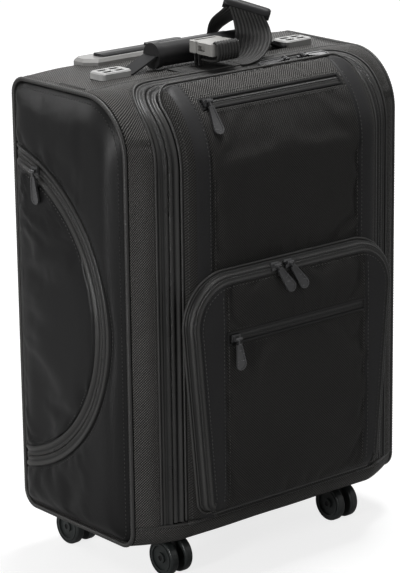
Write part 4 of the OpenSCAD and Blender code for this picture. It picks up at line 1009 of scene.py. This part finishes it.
r_in = ray_hit(lambda u, z: (arc_dist(u, z) < 9.0) & (u > POCKET_BACK))
r_out = ray_hit(lambda u, z: side_depth(u, z) > 5.0)
away = (r_out - r_in) * np.array([0, 0, 0.03, 0.07, 0.13, 0.22, 0.33, 0.45, 0.57, 0.68, 0.78, 0.86, 0.92, 0.96,
                                  0.985, 1.0])
panel_u, panel_z = MID_U + (r_in + away) * np.cos(th), MID_Z + (r_in + away) * np.sin(th)
depth = side_depth(panel_u, panel_z)
panel_h = 1.1 * smooth01(away / 14) * smooth01((depth - 8) / 20) - 2.2 * (1 - smooth01(away / 9.0))
panel_h[:, 0] = -9.5
panel_h += 0.2 * np.sin(panel_z / 29 + panel_u / 21) * smooth01(away / 20) * smooth01((depth - 10) / 15)
panel_held = hold((away < 4) | (depth < 14) | (panel_u > 130))

# Flap: a padded sheet inside the arch
FLAP_R, SIDE_PULL_U, SIDE_PULL_Z = ARCH_R - 10.0, 55.0, 385.0
t = np.concatenate([[0, 0.004, 0.012], np.linspace(0.025, 0.975, 80), [0.988, 0.996, 1.0]])
zz = ARCH_Z + FLAP_R * np.sin((t * 2 - 1) * (np.pi / 2)) * 0.988
ua = ARCH_U + np.sqrt(np.maximum(FLAP_R**2 - (zz - ARCH_Z) ** 2, 0))
clear = ua > HINGE_U + 1
zz, ua = zz[clear, None], ua[clear, None]
fr = steps(np.linspace(0, 0.1, 6), np.linspace(0.1, 0.9, 30), np.linspace(0.9, 1, 9))
flap_u = HINGE_U + 0.5 + (ua - HINGE_U - 0.5) * fr
flap_z = zz + 0 * flap_u
inn = -arc_dist(flap_u, flap_z) - 10.0
flap_h = (0.7 * smooth01(inn / 30) - 1.8 * (1 - smooth01(inn / 8.0))
          - 1.2 * (1 - smooth01((flap_u - HINGE_U) / 6)))
near_pull = (np.abs(flap_u - SIDE_PULL_U) < 20) & (np.abs(flap_z - SIDE_PULL_Z) < 35)
flap_held = hold((inn < 2) | (flap_u < HINGE_U + 4), near_pull, 0.9)

# Section of the side pocket's zip, from its middle out, and its teeth
zip_a = np.arange(-tip, tip, 1.2 / ARCH_R)[:, None]
zip_g = np.array([0.2, 0.2, 0.6, 1.2, 2.0, 2.9, 3.9, 5.0, 6.2, 7.3, 8.4, 9.4, 10.4, 11.4, 12.0])
zip_h = np.array([-3.0, -1.0, -0.4, -0.1, -0.1, -0.5, -0.9, -0.9, -0.6, 0.1, 0.7, 1.0, 0.8, 0.1, -1.6])
tooth = np.array([0, 0.1, 0.25, 0.3, 0.25, 0.1, 0, 0, 0, 0, 0, 0, 0, 0, 0]) * teeth(len(zip_a))
coil = (zip_g[:-1] + zip_g[1:]) / 2 < 3.4

# Outlines of the inner board, seen when the lid is open, and of the pocket's floor
rim = np.stack(arch_at(ARCH_R + 9, np.linspace(-tip, tip, 60)), -1)
floor_loop = np.concatenate([rim, [[POCKET_BACK, rim[-1, 1]], [POCKET_BACK, rim[0, 1]]]])
board_loop = profile_path(5.2, 8.0)[:, :2]
seam_line, row_line = profile_path(1.8, 0.8), profile_path(9.5, 2.5)
# the row of stitches beside the seam stops where the flap turns
in_row = (row_line[:, 0] >= HINGE_U + 1) | (np.abs(row_line[:, 1] - ARCH_Z) >= 184)
row_parts = np.split(np.arange(len(row_line)), np.flatnonzero(np.diff(in_row)) + 1)
arch_row = np.arange(-tip + 0.06, tip - 0.06, 0.012)

for name, sx in (("left", -1), ("right", 1)):
    body = name + "_side_pocket"
    outward = (sx, 0, 0)
    first = name == "left"  # the left pieces stand for CAD nodes that hold both sides

    o = grid(name + "_side_cloth", on_side(sx, panel_u, panel_z, panel_h), ["satin", "lining"], wrap_n=True)
    fix_normals(o)
    inflate(o, panel_held, 1.3, 1.5)
    finish(o, "case", "satin_nylon", name + "_side_panel", pad=0.7)

    for tag, xx, loop in (("board", HALF_W - 6.0, board_loop), ("floor", HALF_W + 1.0, floor_loop)):
        mid = loop.mean(0)
        fr = np.linspace(0.02, 1, 14)
        q = mid + fr[:, None] * (loop[:, None] - mid)
        soft = 0.21 * np.sin(q[..., 1] / 23 + q[..., 0] / 31) * np.sin(np.pi * fr)
        o = grid(name + "_side_" + tag, points(sx * (xx + soft), q[..., 0], q[..., 1]), ["lining"], wrap_n=True)
        fix_normals(o)
        finish(o, "case", "satin_nylon")

    # Zip round the pocket: one tape on the side, one on the flap
    for tag, sg, who in (("_side_tape", 1, "case"), ("_flap_tape", -1, body)):
        u, z = arch_at(ARCH_R + sg * zip_g, zip_a)
        p = on_side(sx, np.maximum(u, 6.5), z, zip_h + sg * tooth)
        zip_sheet(name + tag, who, p, coil, outward, *(["side_zip_tapes"] if sg > 0 and first else []))

    o = grid(name + "_flap_cloth", on_side(sx, flap_u, flap_z, flap_h), ["satin", "lining"], out=outward)
    inflate(o, flap_held, 1.8, 2.6)
    thicken(o, 3.0)
    finish(o, body, "satin_nylon", name + "_side_flap", pad=0.7)

    # Covered seam at the flap's hinge, and piping on the side's seam
    q = on_side(sx, HINGE_U - 0.6, ARCH_Z + np.linspace(-170, 170, 150), -0.6)
    piping(name + "_flap_hinge", body, q, outward, 1.6)
    q = points(sx * (HALF_W + 2.55), seam_line[:, 0], seam_line[:, 1])
    piping(name + "_piping", "case", q, outward, 2.5, 10, 0.06, 3.2, True, ["side_piping"] if first else [])

    q = on_side(sx, row_line[:, 0], row_line[:, 1], 0.5)
    nn = points(sx, row_line[:, 2], row_line[:, 3])
    runs = [(q[part], nn[part]) for part in row_parts if in_row[part[0]]]
    inner, outer = ((on_side(sx, np.maximum(u, 9), z, h), outward)
                    for (u, z), h in ((arch_at(ARCH_R - 15.0, arch_row), 0.1), (arch_at(ARCH_R + 15.5, arch_row), 0.3)))
    stitches(name + "_flap_stitches", [inner], body)
    stitches(name + "_side_stitches", runs + [outer], "case")


# ---- straps
def spline(knots, step):
    """A smooth path through rows of numbers, evenly spaced by the first three of each."""
    p = np.asarray(knots, float)
    ext = np.concatenate([2 * p[:1] - p[1:2], p, 2 * p[-1:] - p[-2:-1]])
    out = []
    for a, b, c, d in zip(ext, ext[1:], ext[2:], ext[3:]):
        for t in np.linspace(0, 1, 16, endpoint=False):
            out.append(0.5 * (2 * b + (c - a) * t + (2 * a - 5 * b + 4 * c - d) * t * t
                              + (3 * b - a - 3 * c + d) * t**3))
    return evenly(np.array(out + [p[-1]]), step, 3)


def ribbon(name, knots, wide, thick, ribs, body, *replaced):
    """Webbing with raised ribs along it, through pairs of a point and the direction across."""
    rows = spline([[*a, *b] for a, b in knots], 1.6)
    c, w = rows[:, :3], unit(rows[:, 3:])
    f = unit(np.cross(unit(np.gradient(c, axis=0)), w))
    y = np.linspace(-0.5, 0.5, ribs * 6 + 1)
    bulge = np.abs(np.cos(np.pi * ribs * (y + 0.5) + np.pi / 2)) ** 0.7
    edge = np.clip((0.5 - np.abs(y)) * wide / 0.8, 0, 1)
    top = (thick / 2 - 0.75 + 0.95 * bulge) * (0.45 + 0.55 * edge)
    ring_y = np.concatenate([y, y[::-1]]) * wide
    ring_h = np.concatenate([top, -top[::-1]])
    p = c[:, None] + w[:, None] * ring_y[:, None] + f[:, None] * ring_h[:, None]
    finish(rings(name, p, ring_y, arc_length(c), "webbing"), body, "webbing", *replaced)


STRAP_U, LOOP_K = 95.0, 54.0 / 57.0  # middle of the strap, and the scale of its loop


def at_top(x, u, z):
    """A place on the strap's loop, z above the top panel, before its scaling."""
    return LOOP_K * x, STRAP_U + LOOP_K * (u - STRAP_U), LOOP_K * z + WRAP_TOP + 0.1


slant = np.array([0.71, 0.64, -0.3])
bar_at = np.array([51.0 * LOOP_K, STRAP_U + 18 * LOOP_K, WRAP_TOP + 54])
bar_along = unit(slant)
bar_front = unit(np.array([-0.64, 0.71, 0]))
bar_up = unit(np.array([0, 0, 1.0]) + 0.3 * slant)
loop = [(at_top(9, 131, 1.1), (0, 1, 0)), (at_top(22, 131, 1.2), (0, 1, 0)), (at_top(34, 131, 5), (0.2, 1, 0)),
        (at_top(43, 130, 14), (0.45, 0.9, 0)), (at_top(49, 127, 26), (0.6, 0.8, -0.1)),
        (at_top(51, 122, 39), (0.7, 0.68, -0.2))]
loop += [(bar_at + 5.5 * (math.cos(a) * bar_front + math.sin(a) * bar_up), bar_along)
         for a in np.radians([0, 45, 90, 135, 180])]
loop += [(at_top(52, 98, 51), (0.88, 0.45, -0.15)), (at_top(46, 82, 43), (1, 0.1, 0)),
         (at_top(40, 69, 29), (0.9, -0.4, 0)), (at_top(36, 63, 13), (0.75, -0.66, 0)),
         (at_top(34, 61, 0.9), (0.7, -0.7, 0))]
ribbon("strap_loop", loop, 42, 2.2, 10, "case", "strap_webbing")
# Moulded saddle over the bar, on top of the webbing
reach = np.concatenate([[-26, -26, -25.4, -24], np.linspace(-22, 22, 30), [24, 25.4, 26, 26]])[:, None, None]
edge = [-1.0, -0.4, 0.3, 0.7]
saddle_r = 6.8 + np.concatenate([edge, np.full(30, 0.9), edge[::-1]])[:, None, None]
arc = np.radians(np.linspace(-8, 168, 20))[:, None]
p = bar_at + reach * bar_along + saddle_r * (np.cos(arc) * bar_front + np.sin(arc) * bar_up)
finish(thicken(grid("bar_saddle", p, ["rubber"], out=tuple(bar_up)), 0.9, 0), "case", "black_plastic")
# Foot of the strap, lying flat to the left under the buckle
flat = [((x, 126.5, WRAP_TOP + 0.9), (0, 1, 0)) for x in (-66, -48, -30, -12, 4, 14)]
ribbon("strap_foot", flat, 34, 1.6, 8, "case")
# Folded tab that holds the buckle's plug
BUCKLE_X, BUCKLE_END, BUCKLE_T, BUCKLE_Z = -17, 125.3 + 28.0, 13.0, WRAP_TOP + 17
tab = ((115.0, 0.6), (114.6, 8), (115.0, 17.5), (117.2, 21.5), (120.4, 18.5), (121.2, 9), (121.0, 0.6))
ribbon("buckle_tab", [((BUCKLE_X, u, WRAP_TOP + z), (1, 0, 0)) for u, z in tab], 27, 1.6, 6, "case")
# Loose end of the webbing, from the buckle's socket
end = ((-4.2, BUCKLE_T - 5), (-4.2, BUCKLE_T - 1), (-3.2, BUCKLE_T + 1.4), (-1, BUCKLE_T + 2), (1.4, BUCKLE_T + 0.6),
       (2.6, BUCKLE_T - 3), (3.6, BUCKLE_T - 9), (3.4, 0), (1, -4.4), (-6, -6.2), (-14, -6.8), (-24, -7))
tail = [((BUCKLE_X, BUCKLE_END + u, BUCKLE_Z + z), (1, 0, 0)) for u, z in end]
ribbon("strap_tail", tail, 32, 2.0, 8, "buckle", "strap_end")


# ---- CAD nodes that stay
def dress(names, mat, bevel=0.0, segments=2):
    """Gives CAD nodes a material and softens their edges by a bevel in mm."""
    for name in names:
        ob = nodes[name]
        ob.data.materials.clear()
        ob.data.materials.append(M[mat])
        if bevel:
            bv = ob.modifiers.new("edge", "BEVEL")
            bv.width = bevel / 1000
            bv.segments = segments
            bv.limit_method = "ANGLE"
            bv.angle_limit = math.radians(35)
            bv.harden_normals = False


def ending(*ends):
    return [n for n in nodes if n.endswith(ends)]


dress(ending("_pull", "_slider", "_sliders"), "gunmetal", 0.55, 3)
dress(["outer_tubes", "mid_tubes", "inner_tubes"], "tube")
dress(["frame_wires", "left_lock_pin", "right_lock_pin"], "steel")
dress(["screws"], "steel", 0.3)
dress(["trolley_bezel"], "grey", 1.2, 3)
dress(["handle_anchors"], "anchor", 0.5)
dress(["buckle_plug", "buckle_socket"], "buckle", 0.8, 3)
dress(["trolley_grip", "grip_button", "tube_feet", "caster_plates", "handle_core"], "black", 0.5)
dress(["tube_tunnels"], "lining")
dress(["handle_grip"], "rubber", 3.5, 4)
dress(["strap_bar"], "rubber", 1.0, 3)
dress(ending("_fork"), "black", 0.6)
dress(ending("_wheels"), "wheel", 0.4)

# ---- light and floor
WHITE = (1, 1, 1, 1)


def white_seen(tree, gloss):
    """Share of the white background that a ray sees: all of it straight or through glass, part of it reflected."""
    ray = tree.nodes.new("ShaderNodeLightPath").outputs
    direct = math_node(tree, "MAXIMUM", ray["Is Camera Ray"], ray["Is Transmission Ray"])
    return math_node(tree, "MAXIMUM", direct, math_node(tree, "MULTIPLY", ray["Is Glossy Ray"], gloss))


studio = bpy.data.worlds.new("studio")
scene.world = studio
studio.use_nodes = True
wt = studio.node_tree
lit = wt.nodes["Background"]
lit.inputs["Color"].default_value = WHITE
lit.inputs["Strength"].default_value = 0.06
shown = wt.nodes.new("ShaderNodeBackground")
shown.inputs["Color"].default_value = WHITE
mix = wt.nodes.new("ShaderNodeMixShader")
for k, socket in enumerate((white_seen(wt, 0.35), lit.outputs[0], shown.outputs[0])):
    wt.links.new(socket, mix.inputs[k])
wt.links.new(mix.outputs[0], wt.nodes["World Output"].inputs["Surface"])


def area(name, at, to, size, power):
    data = bpy.data.lights.new(name, "AREA")
    data.shape = "DISK"
    data.size = size
    data.energy = power
    lamp = bpy.data.objects.new(name, data)
    lamp.location = at
    lamp.rotation_euler = (Vector(to) - Vector(at)).to_track_quat("-Z", "Y").to_euler()
    scene.collection.objects.link(lamp)


area("top", (0.4, 0.1, 2.7), (0, 0, 0.4), 1.0, 52)
area("left", (-2.4, -0.6, 0.75), (0, 0, 0.35), 0.4, 22)
area("back_left", (-1.5, 1.8, 1.8), (0, 0, 0.4), 0.7, 12)
area("back_right", (1.8, 2.2, 1.5), (0, 0, 0.45), 1.6, 9)
area("fill", (1.4, -2.2, 1.4), (0, 0, 0.3), 1.4, 2.5)

# The floor is white to the camera and grey to other light; near the case its glow is dimmed, a painted shadow.
paper = Mat("floor_paper")
cloudy = paper.noise(3, 2, paper.spot())
paper.out(paper.ramp(cloudy, [(0.2, (0.30, 0.30, 0.30)), (0.8, (0.33, 0.33, 0.33))]), "Base Color")
paper.set(Roughness=0.9, Specular_IOR_Level=0.1, Emission_Color=WHITE)
far = paper.node("ShaderNodeVectorMath")
far.operation = "LENGTH"
paper.link(paper.spot(), far.inputs[0])
# painted shadow: the floor's glow falls to 0.78 near the case and rises to full 1.4 m away
painted_floor_shadow = paper.span(paper.math("DIVIDE", far.outputs["Value"], 1.4), 0.78, 1.0)
paper.out(paper.math("MULTIPLY", white_seen(paper.t, 0.12), painted_floor_shadow), "Emission Strength")
bpy.ops.mesh.primitive_plane_add(size=14, location=(0, 0, -0.0005))
floor = bpy.context.object
floor.name = "floor"
floor.data.materials.append(paper.m)

scene.view_settings.view_transform = "Standard"
